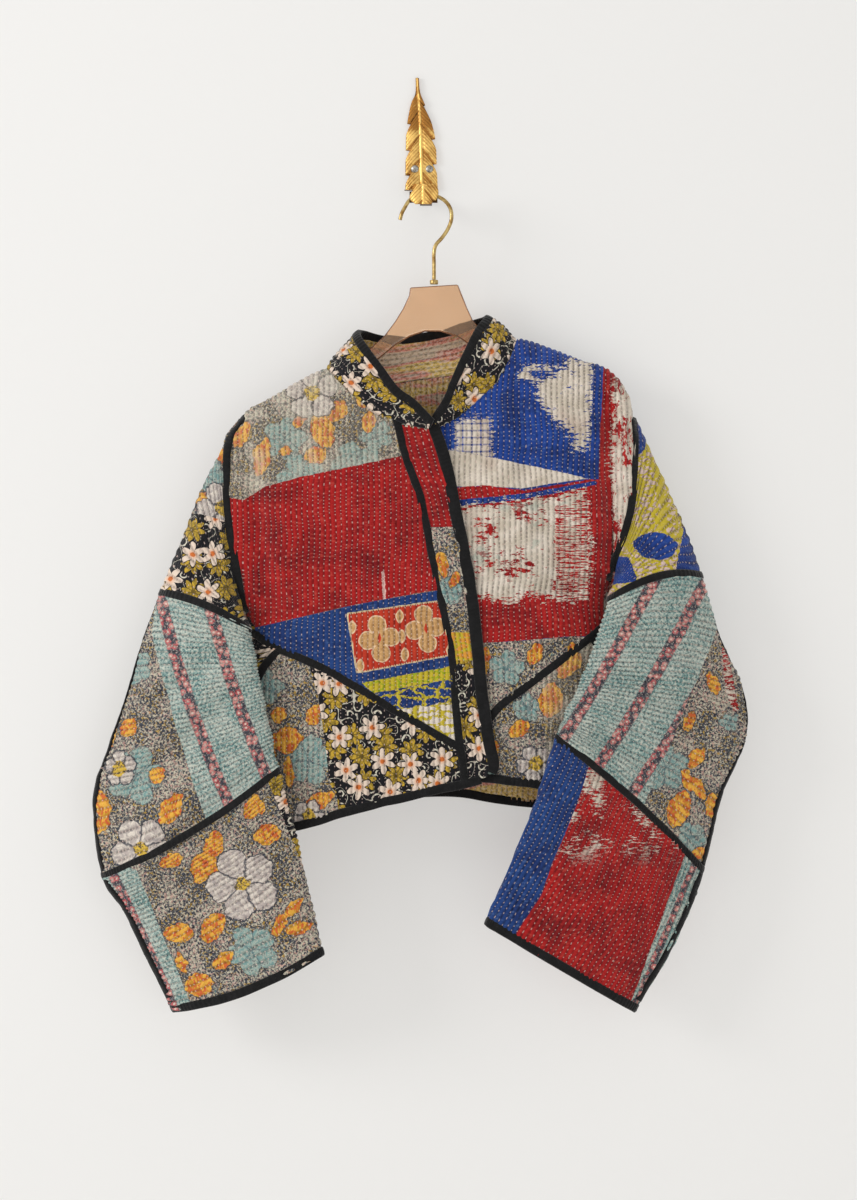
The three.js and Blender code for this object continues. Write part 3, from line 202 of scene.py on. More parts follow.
BACK_FOLDS = table(
    "topX topZ endX endZ halfWidth depth",
    (-150, -270, -120, -520, 18, 3), (170, -270, 140, -500, 18, 4),
    (0, -260, 10, -620, 30, -3), (80, -330, 60, -620, 16, 2.5))
SLEEVE_FOLDS = {
    "right": table(
        "topX topZ endX endZ halfWidth depth",
        (-205, -330, -225, -440, 9, 4), (-170, -470, -290, -560, 11, 6),
        (-175, -490, -300, -596, 9, -3), (-165, -520, -300, -640, 12, 6),
        (-150, -600, -270, -690, 10, 6), (-280, -560, -300, -700, 12, 4),
        (-250, -690, -190, -800, 12, 4), (-180, -640, -140, -790, 14, -4)),
    "left": table(
        "topX topZ endX endZ halfWidth depth",
        (225, -320, 230, -420, 9, 4), (190, -450, 290, -510, 10, 6),
        (180, -478, 300, -536, 9, -3), (170, -500, 305, -560, 11, 6),
        (160, -560, 280, -640, 10, 6), (280, -470, 262, -620, 12, 4),
        (140, -640, 250, -700, 12, 5), (180, -620, 120, -770, 14, -4)),
}

# ---- the quilting ----
FINE_STEP = 1.35  # mesh steps across the rows
COARSE_STEP = 3.2  # and along them
ROUND_STEP = 4.6  # along the rows that run round a sleeve
GIRTH = 2.2  # a sleeve's way round, over its width


# ---- curves and surfaces ----
def smooth(rows, key, value, at):
    """A smooth curve of one column against another, flat beyond the table's ends."""
    keys, values = rows[key], rows[value]
    if keys[0] > keys[-1]:
        keys, values = keys[::-1], values[::-1]
    last = len(keys) - 1
    at = np.clip(at, keys[0], keys[-1])
    i = np.clip(np.searchsorted(keys, at, side="right") - 1, 0, last - 1)
    span = keys[i + 1] - keys[i]
    t = (at - keys[i]) / span

    def slope(a, b):
        return (values[b] - values[a]) / (keys[b] - keys[a])

    start = slope(np.maximum(i - 1, 0), i + 1) * span
    end = slope(i, np.minimum(i + 2, last)) * span
    return (values[i] * (2 * t**3 - 3 * t**2 + 1) + start * (t**3 - 2 * t**2 + t)
            + values[i + 1] * (3 * t**2 - 2 * t**3) + end * (t**3 - t**2))


def ease(value):
    value = np.clip(value, 0, 1)
    return value * value * (3 - 2 * value)


def mix(a, b, t):
    return a + (b - a) * t


def quarter_round(value):
    return np.sqrt(1 - (1 - np.clip(value, 0, 1)) ** 2)


def joined(*tables):
    return {key: np.concatenate([rows[key] for rows in tables]) for key in "xz"}


RIGHT_BORDER = joined(RIGHT_ARMHOLE, RIGHT_SIDE)
LEFT_BORDER = joined(LEFT_ARMHOLE, LEFT_SIDE)


def ridge(x):
    return smooth(RIDGE, "x", "z", x)


def fold_depth(x, z, folds):
    total = np.zeros(np.broadcast(x, z).shape)
    for top_x, top_z, end_x, end_z, half_width, depth in zip(*folds.values()):
        length = math.hypot(end_x - top_x, end_z - top_z)
        down = ((x - top_x) * (end_x - top_x) + (z - top_z) * (end_z - top_z)) / length**2
        off = ((x - top_x) * (end_z - top_z) - (z - top_z) * (end_x - top_x)) / length
        total += depth * ease(down * 4) * ease((1 - down) * 4) * np.exp(-(off / half_width) ** 2)
    return total


def body_depth(x, z, side):
    """How far the cloth's outer face is from the hang plane."""
    x, z = np.broadcast_arrays(np.asarray(x, float), np.asarray(z, float))
    right = smooth(RIGHT_BORDER, "z", "x", z)
    left = smooth(LEFT_BORDER, "z", "x", z)
    across = np.minimum(1, np.abs(2 * x - right - left) / (left - right))
    underarm = np.where(x < (right + left) / 2, RIGHT_ARMHOLE["z"][-1], LEFT_ARMHOLE["z"][-1])
    opening = quarter_round((z - underarm) / UNDERARM_ROUND)
    drop = np.maximum(0, ridge(x) - z)
    full = (SHOULDER_HALF_DEPTH * quarter_round(drop / SHOULDER_DROP)
            + (CHEST_HALF_DEPTH - SHOULDER_HALF_DEPTH) * (1 - np.exp(-drop / CHEST_REACH)))
    closed = (1 - across**SIDE_POWER) ** (1 / SIDE_POWER)
    opened = 1 - (1 - ARMHOLE_SHARE) * across**3
    depth = full * mix(closed, opened, opening)
    if side == "back":
        return depth * BACK_SHARE
    settled = depth * ease(depth / SHOULDER_HALF_DEPTH)
    front = depth - fold_depth(x, z, FRONT_FOLDS) * np.minimum(1, settled / SHOULDER_HALF_DEPTH)
    if side == "underlap":
        past = x - smooth(FRONT_EDGE, "z", "x", z)
        front = front - UNDERLAP * ease(1 - (past - UNDERLAP_REACH) / UNDERLAP_FADE)
    return np.maximum(0, front)


def body_points(x, z, side):
    x, z = np.broadcast_arrays(np.asarray(x, float), np.asarray(z, float))
    depth = body_depth(x, z, side)
    return np.stack([x, HANG_PLANE + (depth if side == "back" else -depth), z], -1)


def ring_value(sleeve, column, at):
    rows = {"at": np.arange(CUFF + 1.0), "value": sleeve["rings"][column]}
    past = np.maximum(0, at - CUFF)
    return smooth(rows, "at", "value", at) + past * (rows["value"][-1] - rows["value"][-2])


def sleeve_ring(sleeve, at, v):
    at, v = np.broadcast_arrays(np.asarray(at, float), np.asarray(v, float))
    outer, inner = (
        np.stack([ring_value(sleeve, place + axis, at) for axis in "XYZ"], -1)
        for place in ("outer", "inner"))
    chord = inner - outer
    length = np.linalg.norm(chord, axis=-1, keepdims=True)
    point = (outer + inner) / 2 - chord / 2 * np.cos(v)[..., None]
    point = np.where(length > 0, point, outer)
    bulge = np.where(np.sin(v) >= 0, ring_value(sleeve, "front", at),
                     ring_value(sleeve, "back", at))
    point[..., 1] -= bulge * np.sin(v)
    point[..., 2] += ring_value(sleeve, "bow", at) * np.sin(v) ** 2
    return point


ARMHOLE_TUCK = 1.5
CAP_BLEND = 1.5  # rings over which the sleeve takes the armhole's shape


def armhole_points(sleeve, v):
    armhole, outward = sleeve["armhole"], sleeve["outward"]
    z = mix(armhole["z"][0] - ARMHOLE_TUCK, armhole["z"][-1] + ARMHOLE_TUCK, (1 - np.cos(v)) / 2)
    line = smooth(RIGHT_BORDER if outward < 0 else LEFT_BORDER, "z", "x", z)
    fade = np.minimum(1, np.abs(np.sin(v)) * 3)
    depth = np.where(np.sin(v) < 0, body_depth(line, z, "back"),
                     -body_depth(line, z, "front")) * fade
    return np.stack([line + outward * (BINDING_WIDTH / 2 - TUCK), HANG_PLANE + depth, z], -1)


def sleeve_points(sleeve, at, v):
    at, v = np.broadcast_arrays(np.asarray(at, float), np.asarray(v, float))
    point = sleeve_ring(sleeve, at, v)
    fade = np.where(at < CAP_BLEND, (1 - at / CAP_BLEND) ** 2, 0)[..., None]
    start = sleeve_ring(sleeve, np.zeros_like(at), v)
    return point + fade * (armhole_points(sleeve, v) - start)


def collar_points(share, height):
    """A point of the collar at a share of its length and a share of its height."""
    share, height = np.broadcast_arrays(np.asarray(share, float), np.asarray(height, float))
    count = len(COLLAR["side"])
    sides = {0: "front", 1: "back", 2: "underlap"}
    seam = np.array([body_points(x, z, sides[side]) for side, x, z in
                     zip(COLLAR["side"], COLLAR["seamX"], COLLAR["seamZ"])])
    top = np.stack([COLLAR["topX"], COLLAR["topY"], COLLAR["topZ"]], -1)
    at = {"at": np.linspace(0, 1, count)}

    def place(points, where):
        return np.stack([smooth({**at, "value": points[:, k]}, "at", "value", where)
                         for k in range(3)], -1)

    low, high = place(seam, share), place(top, share)
    step = 1 / (4 * count)
    tangent = (place(seam, share + step) + place(top, share + step)
               - place(seam, share - step) - place(top, share - step))
    outward = np.cross(high - low, tangent)
    outward /= np.linalg.norm(outward, axis=-1, keepdims=True)
    bulge = COLLAR_BULGE * np.sin(np.pi * height)
    return low + (high - low) * height[..., None] + outward * bulge[..., None]


def ripple(u, v, size, seed):
    """Smooth noise from -1 to 1 with bumps of about `size` millimetres."""
    count = 256
    lattice = np.random.default_rng(seed).uniform(-1, 1, (count, count))
    a, b = u / size, v / size
    i, j = np.floor(a).astype(int), np.floor(b).astype(int)
    s, t = ease(a - i), ease(b - j)
    corner = [[lattice[(i + di) % count, (j + dj) % count] for dj in (0, 1)] for di in (0, 1)]
    return mix(mix(corner[0][0], corner[0][1], t), mix(corner[1][0], corner[1][1], t), s)


# ---- meshes ----
def grid_normals(points, ring):
    """Unit normals of a grid of points, [row, column, xyz]; a ring closes along the columns."""
    if ring:
        around = np.roll(points, -1, axis=1) - np.roll(points, 1, axis=1)
    else:
        around = np.gradient(points, axis=1)
    along = np.gradient(points, axis=0)
    normals = np.cross(along, around)
    length = np.linalg.norm(normals, axis=-1, keepdims=True)
    return normals / np.maximum(length, 1e-9)


def grid_faces(rows, columns, ring, start, turned):
    """Quadrilaterals between neighbouring points of a grid."""
    index = start + np.arange(rows * columns).reshape(rows, columns)
    if ring:
        index = np.concatenate([index, index[:, :1]], axis=1)
    a, b, c, d = index[:-1, :-1], index[1:, :-1], index[1:, 1:], index[:-1, 1:]
    quads = np.stack([a, b, c, d] if turned else [a, d, c, b], -1)
    return quads.reshape(-1, 4)


def rim_faces(line, offset, turned):
    """Quadrilaterals between a line of the outer grid and the same line of the inner one."""
    a, b = line[:-1], line[1:]
    quads = np.stack([a, b, b + offset, a + offset], -1)
    return quads[:, ::-1] if turned else quads


def linked(name, data):
    """A new object of the scene."""
    made = bpy.data.objects.new(name, data)
    bpy.context.scene.collection.objects.link(made)
    return made


def cloth_shell(name, points, maps, away, marks=None, ring=False, wall=WALL, lift=None,
                inner_lift=None):
    """A closed thin shell of cloth whose outer face follows a grid of points in millimetres.

    maps are the UV maps, in millimetres, and marks the distances to patch edges, all with the
    grid's shape. away points outwards, and lift raises the outer face along its normal.
    """
    rows, columns = points.shape[:2]
    normals = grid_normals(points, ring)
    flip = (normals * away).sum() < 0
    normals = -normals if flip else normals
    lift = np.zeros((rows, columns)) if lift is None else lift
    outer = points + normals * lift[..., None]
    inner_lift = 0.6 * lift if inner_lift is None else inner_lift
    inner = points + normals * (inner_lift - wall)[..., None]
    count = rows * columns
    faces = [grid_faces(rows, columns, ring, 0, flip), grid_faces(rows, columns, ring, count,
                                                                  not flip)]
    index = np.arange(count).reshape(rows, columns)
    if ring:
        index = np.concatenate([index, index[:, :1]], axis=1)
    edges = [(index[0], False), (index[-1], True)]
    if not ring:
        edges += [(index[:, 0], True), (index[:, -1], False)]
    faces += [rim_faces(line, count, turned != flip) for line, turned in edges]
    vertices = np.concatenate([outer.reshape(-1, 3), inner.reshape(-1, 3)]) * MM
    quads = np.concatenate(faces)
    mesh = bpy.data.meshes.new(name)
    mesh.vertices.add(len(vertices))
    mesh.vertices.foreach_set("co", vertices.ravel())
    mesh.loops.add(quads.size)
    mesh.loops.foreach_set("vertex_index", quads.ravel())
    mesh.polygons.add(len(quads))
    mesh.polygons.foreach_set("loop_start", np.arange(0, quads.size, 4))
    material = np.zeros(len(quads), int)
    material[len(faces[0]):len(faces[0]) + len(faces[1])] = 1
    mesh.polygons.foreach_set("material_index", material)
    mesh.polygons.foreach_set("use_smooth", np.ones(len(quads), bool))
    for map_name, (u, v) in maps.items():
        layer = mesh.uv_layers.new(name=map_name)
        flat = np.stack([u, v], -1).reshape(-1, 2) * MM
        layer.data.foreach_set("uv", np.concatenate([flat, flat])[quads.ravel()].ravel())
    for mark, distance in (marks or {}).items():
        attribute = mesh.attributes.new(mark, "FLOAT", "POINT")
        attribute.data.foreach_set("value", np.tile(distance.ravel(), 2).astype(np.float32))
    mesh.update()
    mesh.validate()
    return linked(name, mesh)


def outline_span(outline, xs):
    """The lowest and highest z of an outline on each vertical line."""
    closed = np.vstack([outline, outline[:1]])
    (x1, z1), (x2, z2) = closed[:-1].T, closed[1:].T
    x = xs[:, None]
    crosses = (np.minimum(x1, x2) <= x) & (x <= np.maximum(x1, x2)) & (x1 != x2)
    share = np.where(crosses, (x - x1) / np.where(x1 == x2, 1, x2 - x1), 0)
    z = z1 + (z2 - z1) * share
    return (np.where(crosses, z, np.inf).min(axis=1), np.where(crosses, z, -np.inf).max(axis=1))


def distance_inside(outline, x, z):
    """Distance of points to an outline, positive inside it."""
    closed = np.vstack([outline, outline[:1]])
    nearest = np.full(np.shape(x), np.inf)
    inside = np.zeros(np.shape(x), bool)
    for (x1, z1), (x2, z2) in zip(closed[:-1], closed[1:]):
        dx, dz = x2 - x1, z2 - z1
        t = np.clip(((x - x1) * dx + (z - z1) * dz) / (dx * dx + dz * dz), 0, 1)
        nearest = np.minimum(nearest, np.hypot(x - x1 - dx * t, z - z1 - dz * t))
        if dz:
            crossing = x1 + (z - z1) * dx / dz
            inside ^= ((z1 > z) != (z2 > z)) & (x < crossing)
    return np.where(inside, nearest, -nearest)


def along(rows, key, start, end, dx=0.0, dz=0.0, steps=50):
    """Points along a line of the cut between two values of one column."""
    other = "z" if key == "x" else "x"
    at = np.linspace(start, end, steps)
    found = smooth(rows, key, other, at)
    points = np.stack([at, found] if key == "x" else [found, at], -1)
    return points + [dx, dz]


# Rows of running stitch wander a little, as a hand makes them.
def stitch_rows(across, along_row, seed):
    return (across + 1.5 * ripple(across * 0.25, along_row, 34, seed)
            + 0.7 * ripple(across * 0.5, along_row, 13, seed + 5))


def rib_lift(row, along_row, seed):
    """Height of the puffed ribs between rows of stitches, and of the puckers along them."""
    cloth = bpy.context.scene.jacket
    rib = np.abs(np.sin(np.pi * row * MM / cloth.row_pitch)) ** 0.8
    swell = 1 + 0.45 * ripple(row, along_row, 11, seed + 1)
    pucker = 0.7 * ripple(row * 0.6, along_row, 6.5, seed + 2) * rib
    sway = 1.4 * ripple(row, along_row * 0.8, 26, seed + 3)
    return cloth.rib_height / MM * (rib * swell - 0.6) + pucker + sway


def facing(side):
    return (0, 1, 0) if side == "back" else (0, -1, 0)


def patch_marks(patches, x, z):
    """How far each place is inside each patch."""
    return {mark: distance_inside(np.array(patch, float), x, z)
            for mark, patch in (patches or {}).items()}


def body_panel(name, outline, side, seed, patches=None, creases=None):
    """A panel of the body whose rows of stitches run down it."""
    low_x, high_x = outline[:, 0].min() + 0.2, outline[:, 0].max() - 0.2
    xs = np.linspace(low_x, high_x, int((high_x - low_x) / FINE_STEP) + 1)
    low, high = outline_span(outline, xs)
    tallest = (high - low).max()
    # The first steps down from the shoulder are short, because the cloth turns over there.
    shoulder = 2.0 * COARSE_STEP / tallest
    drops = np.concatenate([np.linspace(0, 1, 5)[:-1] ** 2 * shoulder,
                            np.linspace(shoulder, 1, int(tallest / COARSE_STEP))])
    x = np.broadcast_to(xs, (len(drops), len(xs)))
    z = high - (high - low) * drops[:, None]
    points = body_points(x, z, side)
    if creases:
        points[..., 1] += fold_depth(x, z, creases) * (-1 if side == "back" else 1)
    row = stitch_rows(x, z, seed)
    maps = {"print": (x, z), "stitch": (row, z)}
    return cloth_shell(name, points, maps, facing(side), patch_marks(patches, x, z),
                       lift=rib_lift(row, z, seed))


def band_panel(name, left, right, top, bottom, side, seed, patches=None, bottom_line=None):
    """A narrow panel whose rows of stitches run along its two long edges."""
    z = np.linspace(top, bottom, int((top - bottom) / COARSE_STEP))[:, None]
    width = float(np.mean(right(z) - left(z)))
    share = np.linspace(0, 1, int(width / FINE_STEP) + 1)
    x = mix(left(z), right(z), share)
    z = np.broadcast_to(z, x.shape)
    if bottom_line is not None:
        low = smooth(bottom_line, "x", "z", x[-1])
        shares = np.linspace(0, 1, len(z))[:, None]
        z = mix(top, low, shares)
        x = mix(left(z), right(z), share)
    row = stitch_rows(share * width, z, seed)
    return cloth_shell(name, body_points(x, z, side), {"print": (x, z), "stitch": (row, z)},
                       facing(side), patch_marks(patches, x, z), lift=rib_lift(row, z, seed))


def side_panel(name, sign, front_seam, border, back_seam, diagonal, back_top, hem, side, seed):
    """A panel round the fold at the jacket's side, from the front's side seam to the back's."""
    underarm = (RIGHT_ARMHOLE if sign > 0 else LEFT_ARMHOLE)["z"][-1] - 4.0
    columns = []
    for turn in np.linspace(-1, 1, 53):
        share = math.sin(abs(turn) * math.pi / 2)
        seam = front_seam if turn < 0 else back_seam
        top = underarm
        if turn >= 0:
            top = mix(underarm, back_top, share)
        else:
            for _ in range(4):
                x = mix(smooth(border, "z", "x", top),
                        smooth(seam, "z", "x", top) - sign * TUCK, share)
                reached = min(underarm, float(smooth(diagonal, "x", "z", x)) - TUCK)
                top = mix(underarm, reached, float(ease(-turn * 4)))
        x = mix(smooth(border, "z", "x", -600.0), smooth(seam, "z", "x", -600.0), share)
        z = np.linspace(top, float(smooth(hem, "x", "z", x)), int(210 / COARSE_STEP))
        x = mix(smooth(border, "z", "x", z), smooth(seam, "z", "x", z) - sign * TUCK, share)
        columns.append(body_points(x, z, "back" if turn > 0 else side))
    points = np.stack(columns, axis=1)
    steps = np.linalg.norm(np.diff(points, axis=1), axis=-1)
    around = np.concatenate([np.zeros((len(points), 1)), np.cumsum(steps, axis=1)], axis=1)
    z = points[..., 2]
    row = stitch_rows(around, z, seed)
    maps = {"print": (around + points[..., :1, 0], z), "stitch": (row, z)}
    return cloth_shell(name, points, maps, (-sign, 0, 0), lift=rib_lift(row, z, seed))


def sleeve_tier(name, sleeve, start, end, seed, patches=None, rows_along=False, creases=None):
    """One tier of a sleeve. Its rows of stitches run round it, or along it."""
    rings = np.linspace(start, end, 60)
    middle = sleeve_ring(sleeve, rings, np.pi / 2)
    length = np.linalg.norm(np.diff(middle, axis=0), axis=1).sum()
    width = float(np.linalg.norm(sleeve_ring(sleeve, (start + end) / 2, 0.0)
                                 - sleeve_ring(sleeve, (start + end) / 2, np.pi)))
    if rows_along:
        turns, steps = int(GIRTH * width / (1.25 * FINE_STEP)), int(length / COARSE_STEP)
    else:
        turns, steps = int(GIRTH * width / ROUND_STEP), int(length / FINE_STEP)
    at = np.linspace(start, end, steps)[:, None]
    v = np.linspace(0, 2 * np.pi, turns, endpoint=False)[None, :]
    points = sleeve_points(sleeve, at, v)
    closed = np.concatenate([points, points[:, :1]], axis=1)
    round_steps = np.linalg.norm(np.diff(closed, axis=1), axis=-1)
    around = np.concatenate([np.zeros((steps, 1)), np.cumsum(round_steps, axis=1)[:, :-1]], axis=1)
    along_arm = np.broadcast_to(np.linspace(0, length, steps)[:, None], points.shape[:2])
    across, down = (around, along_arm) if rows_along else (along_arm, around)
    row = stitch_rows(across, down, seed)
    x, z = points[..., 0], points[..., 2]
    if creases:
        points[..., 1] += fold_depth(x, z, creases) * np.sign(np.sin(v)) * np.abs(np.sin(v)) ** 0.5
    away = points - points.mean(axis=1, keepdims=True)
    return cloth_shell(name, points, {"print": (x, z), "stitch": (row, down)}, away,
                       patch_marks(patches, x, z), ring=True, lift=rib_lift(row, down, seed))


# ---- bindings: tapes with rounded edges, raised a little ----
TAPE_SIDES = 9
TAPE_STEP = 2.4


def tape(name, surface, length, half_width, seed, away=None, ring=False):
    """A binding over a surface: surface(share, offset) gives points at a share of its length
    and a distance from its middle line. Without away, outwards is away from its own middle."""
    steps = max(6, int(length / TAPE_STEP))
    share = np.linspace(0, 1, steps, endpoint=not ring)[:, None]
    across = np.sin(np.linspace(-np.pi / 2, np.pi / 2, TAPE_SIDES))[None, :]
    run = share * length
    wobble = 0.35 * ripple(run, across * 0, 17, seed)
    base = surface(share, across * half_width + wobble)
    normals = grid_normals(base, False)
    if ring:
        wrapped = np.concatenate([base[-1:], base, base[:1]])
        normals = grid_normals(wrapped, False)[1:-1]
    away = base - base.mean(axis=(0, 1)) if away is None else away
    normals = normals * (-1 if (normals * away).sum() < 0 else 1)
    edge = np.sqrt(np.maximum(0, 1 - across**4))
    pucker = 1 + 0.22 * ripple(run, across * half_width, 4.4, seed + 1)
    height = BINDING_RISE * edge * pucker + 0.35 * ripple(run, across * 3, 13, seed + 2)
    outer = base + normals * (height - 0.1)[..., None]
    inner = base - normals * (WALL + 0.5 * edge + 0.1)[..., None]
    section = np.concatenate([outer, inner[:, ::-1]], axis=1)
    rows, columns = section.shape[:2]
    if ring:
        section = np.concatenate([section, section[:1]])
        rows += 1  # the last row lies on the first, and is merged with it
    quads = grid_faces(rows, columns, True, 0, True)
    vertices = section.reshape(-1, 3) * MM
    mesh = bpy.data.meshes.new(name)
    faces = quads.tolist()
    if not ring:
        first, last = list(range(columns)), list(range((rows - 1) * columns, rows * columns))
        faces += [first[::-1], last]
    mesh.from_pydata(vertices.tolist(), [], faces)
    layer = mesh.uv_layers.new(name="stitch")
    around = np.linspace(0, 4 * half_width, columns)
    flat = np.stack(np.broadcast_arrays(around[None, :], np.arange(rows)[:, None] * TAPE_STEP),
                    -1).reshape(-1, 2) * MM
    loops = np.zeros(len(mesh.loops), np.int32)
    mesh.loops.foreach_get("vertex_index", loops)
    layer.data.foreach_set("uv", flat[loops].ravel())
    work = bmesh.new()
    work.from_mesh(mesh)
    bmesh.ops.remove_doubles(work, verts=work.verts, dist=1e-6)
    bmesh.ops.recalc_face_normals(work, faces=work.faces)
    work.to_mesh(mesh)
    work.free()
    mesh.polygons.foreach_set("use_smooth", np.ones(len(mesh.polygons), bool))
    return linked(name, mesh)


def path_surface(points, side):
    """A surface function for a tape that follows a line of the cut on the body."""
    points = np.asarray(points, float)
    steps = np.hypot(*np.diff(points, axis=0).T)
    reach = np.concatenate([[0], np.cumsum(steps)])
    line = {"at": reach, "x": points[:, 0], "z": points[:, 1]}
    length = reach[-1]

    def surface(share, offset):
        at = share * length
        x, z = smooth(line, "at", "x", at), smooth(line, "at", "z", at)
        ahead, behind = np.minimum(at + 3, length), np.maximum(at - 3, 0)
        dx = smooth(line, "at", "x", ahead) - smooth(line, "at", "x", behind)
        dz = smooth(line, "at", "z", ahead) - smooth(line, "at", "z", behind)
        size = np.hypot(dx, dz)
        px, pz = x - dz / size * offset, z + dx / size * offset
        pz = np.minimum(pz, ridge(px) - 0.05)
        return body_points(px, pz, side)

    return surface, length


# ---- shader maths written as ordinary arithmetic ----
class Shade:
    """One output of a shader node."""

    def __init__(self, paint, socket):
        self.paint = paint
        self.socket = socket

    def __neg__(self):
        return self.paint.maths("MULTIPLY", self, -1.0)

    def __abs__(self):
        return self.paint.maths("ABSOLUTE", self)


def arithmetic(operation, turned=False):
    if turned:
        return lambda self, other: self.paint.maths(operation, other, self)
    return lambda self, other: self.paint.maths(operation, self, other)


for sign, operation in (("add", "ADD"), ("sub", "SUBTRACT"), ("mul", "MULTIPLY"),
                        ("truediv", "DIVIDE"), ("pow", "POWER"), ("gt", "GREATER_THAN"),
                        ("lt", "LESS_THAN"), ("radd", "ADD"), ("rmul", "MULTIPLY")):
    setattr(Shade, f"__{sign}__", arithmetic(operation))
for sign, operation in (("rsub", "SUBTRACT"), ("rtruediv", "DIVIDE")):
    setattr(Shade, f"__{sign}__", arithmetic(operation, turned=True))


class Paint:
    """The node tree of one material."""

    def __init__(self, name):
        self.material = bpy.data.materials.new(name)
        self.material.use_nodes = True
        self.tree = self.material.node_tree
        self.tree.nodes.clear()
        self.kept = {}

    def node(self, kind, settings=None, sockets=None, output=0):
        made = self.tree.nodes.new(kind)
        for name, value in (settings or {}).items():
            setattr(made, name, value)
        for key, value in (sockets or {}).items():
            if isinstance(value, Shade):
                self.tree.links.new(value.socket, made.inputs[key])
            else:
                made.inputs[key].default_value = value
        return Shade(self, made.outputs[output]) if len(made.outputs) else None

    def maths(self, operation, *values, clamp=False):
        return self.node("ShaderNodeMath", {"operation": operation, "use_clamp": clamp},
                         dict(enumerate(values)))

    def vector(self, operation, *values, output=0, scale=None):
        sockets = dict(enumerate(values))
        if scale is not None:
            sockets[3] = scale
        return self.node("ShaderNodeVectorMath", {"operation": operation}, sockets, output)

    def mix(self, a, b, factor):
        return self.node("ShaderNodeMix", {"data_type": "RGBA", "clamp_factor": True},
                         {0: factor, 6: a, 7: b}, 2)

    def bump(self, strength, distance, height):
        return self.node("ShaderNodeBump", sockets={
            "Strength": strength, "Distance": distance, "Height": height})

    def finished(self, sockets):
        """The material, with a principled shader whose sockets are set."""
        return self.shown(self.node("ShaderNodeBsdfPrincipled", sockets=sockets))

    def shown(self, shader):
        self.node("ShaderNodeOutputMaterial", sockets={0: shader})
        return self.material

    def split(self, vector):
        made = self.node("ShaderNodeSeparateXYZ", sockets={0: vector})
        outputs = made.socket.node.outputs
        return tuple(Shade(self, outputs[k]) for k in range(3))

    def grain(self, place, detail=2.0, rough=0.5, dimensions="2D", output=0):
        return self.node("ShaderNodeTexNoise", {"noise_dimensions": dimensions},
                         {"Vector": place, "Scale": 1.0, "Detail": detail, "Roughness": rough},
                         output)

    def noise(self, p, size, detail=2.0, rough=0.5, stretch=(1.0, 1.0)):
        scaled = self.vector("MULTIPLY", p, (stretch[0] / size, stretch[1] / size, 1.0))
        return self.grain(scaled, detail, rough)

    def step(self, value, edge, soft):
        """0 below the edge and 1 above it, over a soft stretch."""
        return self.maths("MULTIPLY", value - (edge - soft / 2), 1 / soft, clamp=True)

    def flat(self, name):
        """A place on one of the cloth's maps, in millimetres."""
        return self.vector("SCALE", self.node("ShaderNodeUVMap", {"uv_map": name}), scale=1 / MM)

    def lay(self, under, over, value, edge=0.0, soft=0.5, share=None):
        """One colour laid over another where a value is above an edge."""
        cover = self.step(value, edge, soft)
        return self.mix(under, over, cover if share is None else cover * share)

    def mark(self, name):
        """A distance kept on the mesh, in millimetres."""
        return self.node("ShaderNodeAttribute", {"attribute_name": name}, output="Fac")

    def cells(self, p, size, seed, randomness=0.8):
        """Scattered cells: the place from the cell's centre, in millimetres, and a random shade."""
        offset = (17.3 * seed, 9.7 * seed, 0.0)
        scaled = self.vector("ADD", self.vector("SCALE", p, scale=1 / size), offset)
        found = self.node("ShaderNodeTexVoronoi", {"voronoi_dimensions": "2D"},
                          {"Vector": scaled, "Scale": 1.0, "Randomness": randomness})
        outputs = found.socket.node.outputs
        place = self.vector("SCALE", self.vector("SUBTRACT", scaled,
                                                 Shade(self, outputs["Position"])), scale=size)
        return place, self.split(Shade(self, outputs["Color"]))

    def petals(self, place, radius, count, depth, turn=0.0, roundness=0.6):
        """How far a place is inside a flower, in millimetres, how far from its centre and how
        far from the gap between two petals."""
        x, y, _ = self.split(place)
        reach = self.vector("LENGTH", place, output=1)
        angle = self.maths("ARCTAN2", y, x) + turn
        lobe = abs(self.maths("COSINE", angle * (count / 2)))
        inside = radius * (1 - depth) + lobe ** roundness * (radius * depth) - reach
        return inside, reach, lobe * reach * (2 / count)

    def leaf(self, place, length, width, turn):
        """How far a place is inside a leaf, in millimetres. turn may vary from leaf to leaf."""
        x, y, _ = self.split(place)
        if isinstance(turn, Shade):
            cosine, sine = self.maths("COSINE", turn), self.maths("SINE", turn)
        else:
            cosine, sine = math.cos(turn), math.sin(turn)
        lengthwise = abs(x * cosine + y * sine) / length
        crosswise = abs(y * cosine - x * sine) / width
        return (1.0 - (lengthwise ** 1.6 + crosswise ** 1.6) ** 0.63) * width

    def warped(self, p, size, amount):
        """A place pushed about a little, so that what is drawn there comes out uneven."""
        push = self.grain(self.vector("SCALE", p, scale=1 / size), 3.0, 0.6, output=1)
        return self.vector("ADD", p, self.vector(
            "SCALE", self.vector("SUBTRACT", push, (0.5, 0.5, 0.5)), scale=amount))

    def most(self, values):
        return functools.reduce(lambda a, b: self.maths("MAXIMUM", a, b), values)

    def least(self, values):
        return functools.reduce(lambda a, b: self.maths("MINIMUM", a, b), values)

    def nearest(self, p, centres):
        """The place from the nearest of a few given centres, in millimetres."""
        best, best_reach = None, None
        for centre in centres:
            place = self.vector("SUBTRACT", p, (centre[0], centre[1], 0.0))
            reach = self.vector("LENGTH", place, output=1)
            if best is None:
                best, best_reach = place, reach
                continue
            closer = reach < best_reach
            best = self.node("ShaderNodeMix", {"data_type": "VECTOR"},
                             {0: closer, 4: best, 5: place}, 1)
            best_reach = self.maths("MINIMUM", reach, best_reach)
        return best


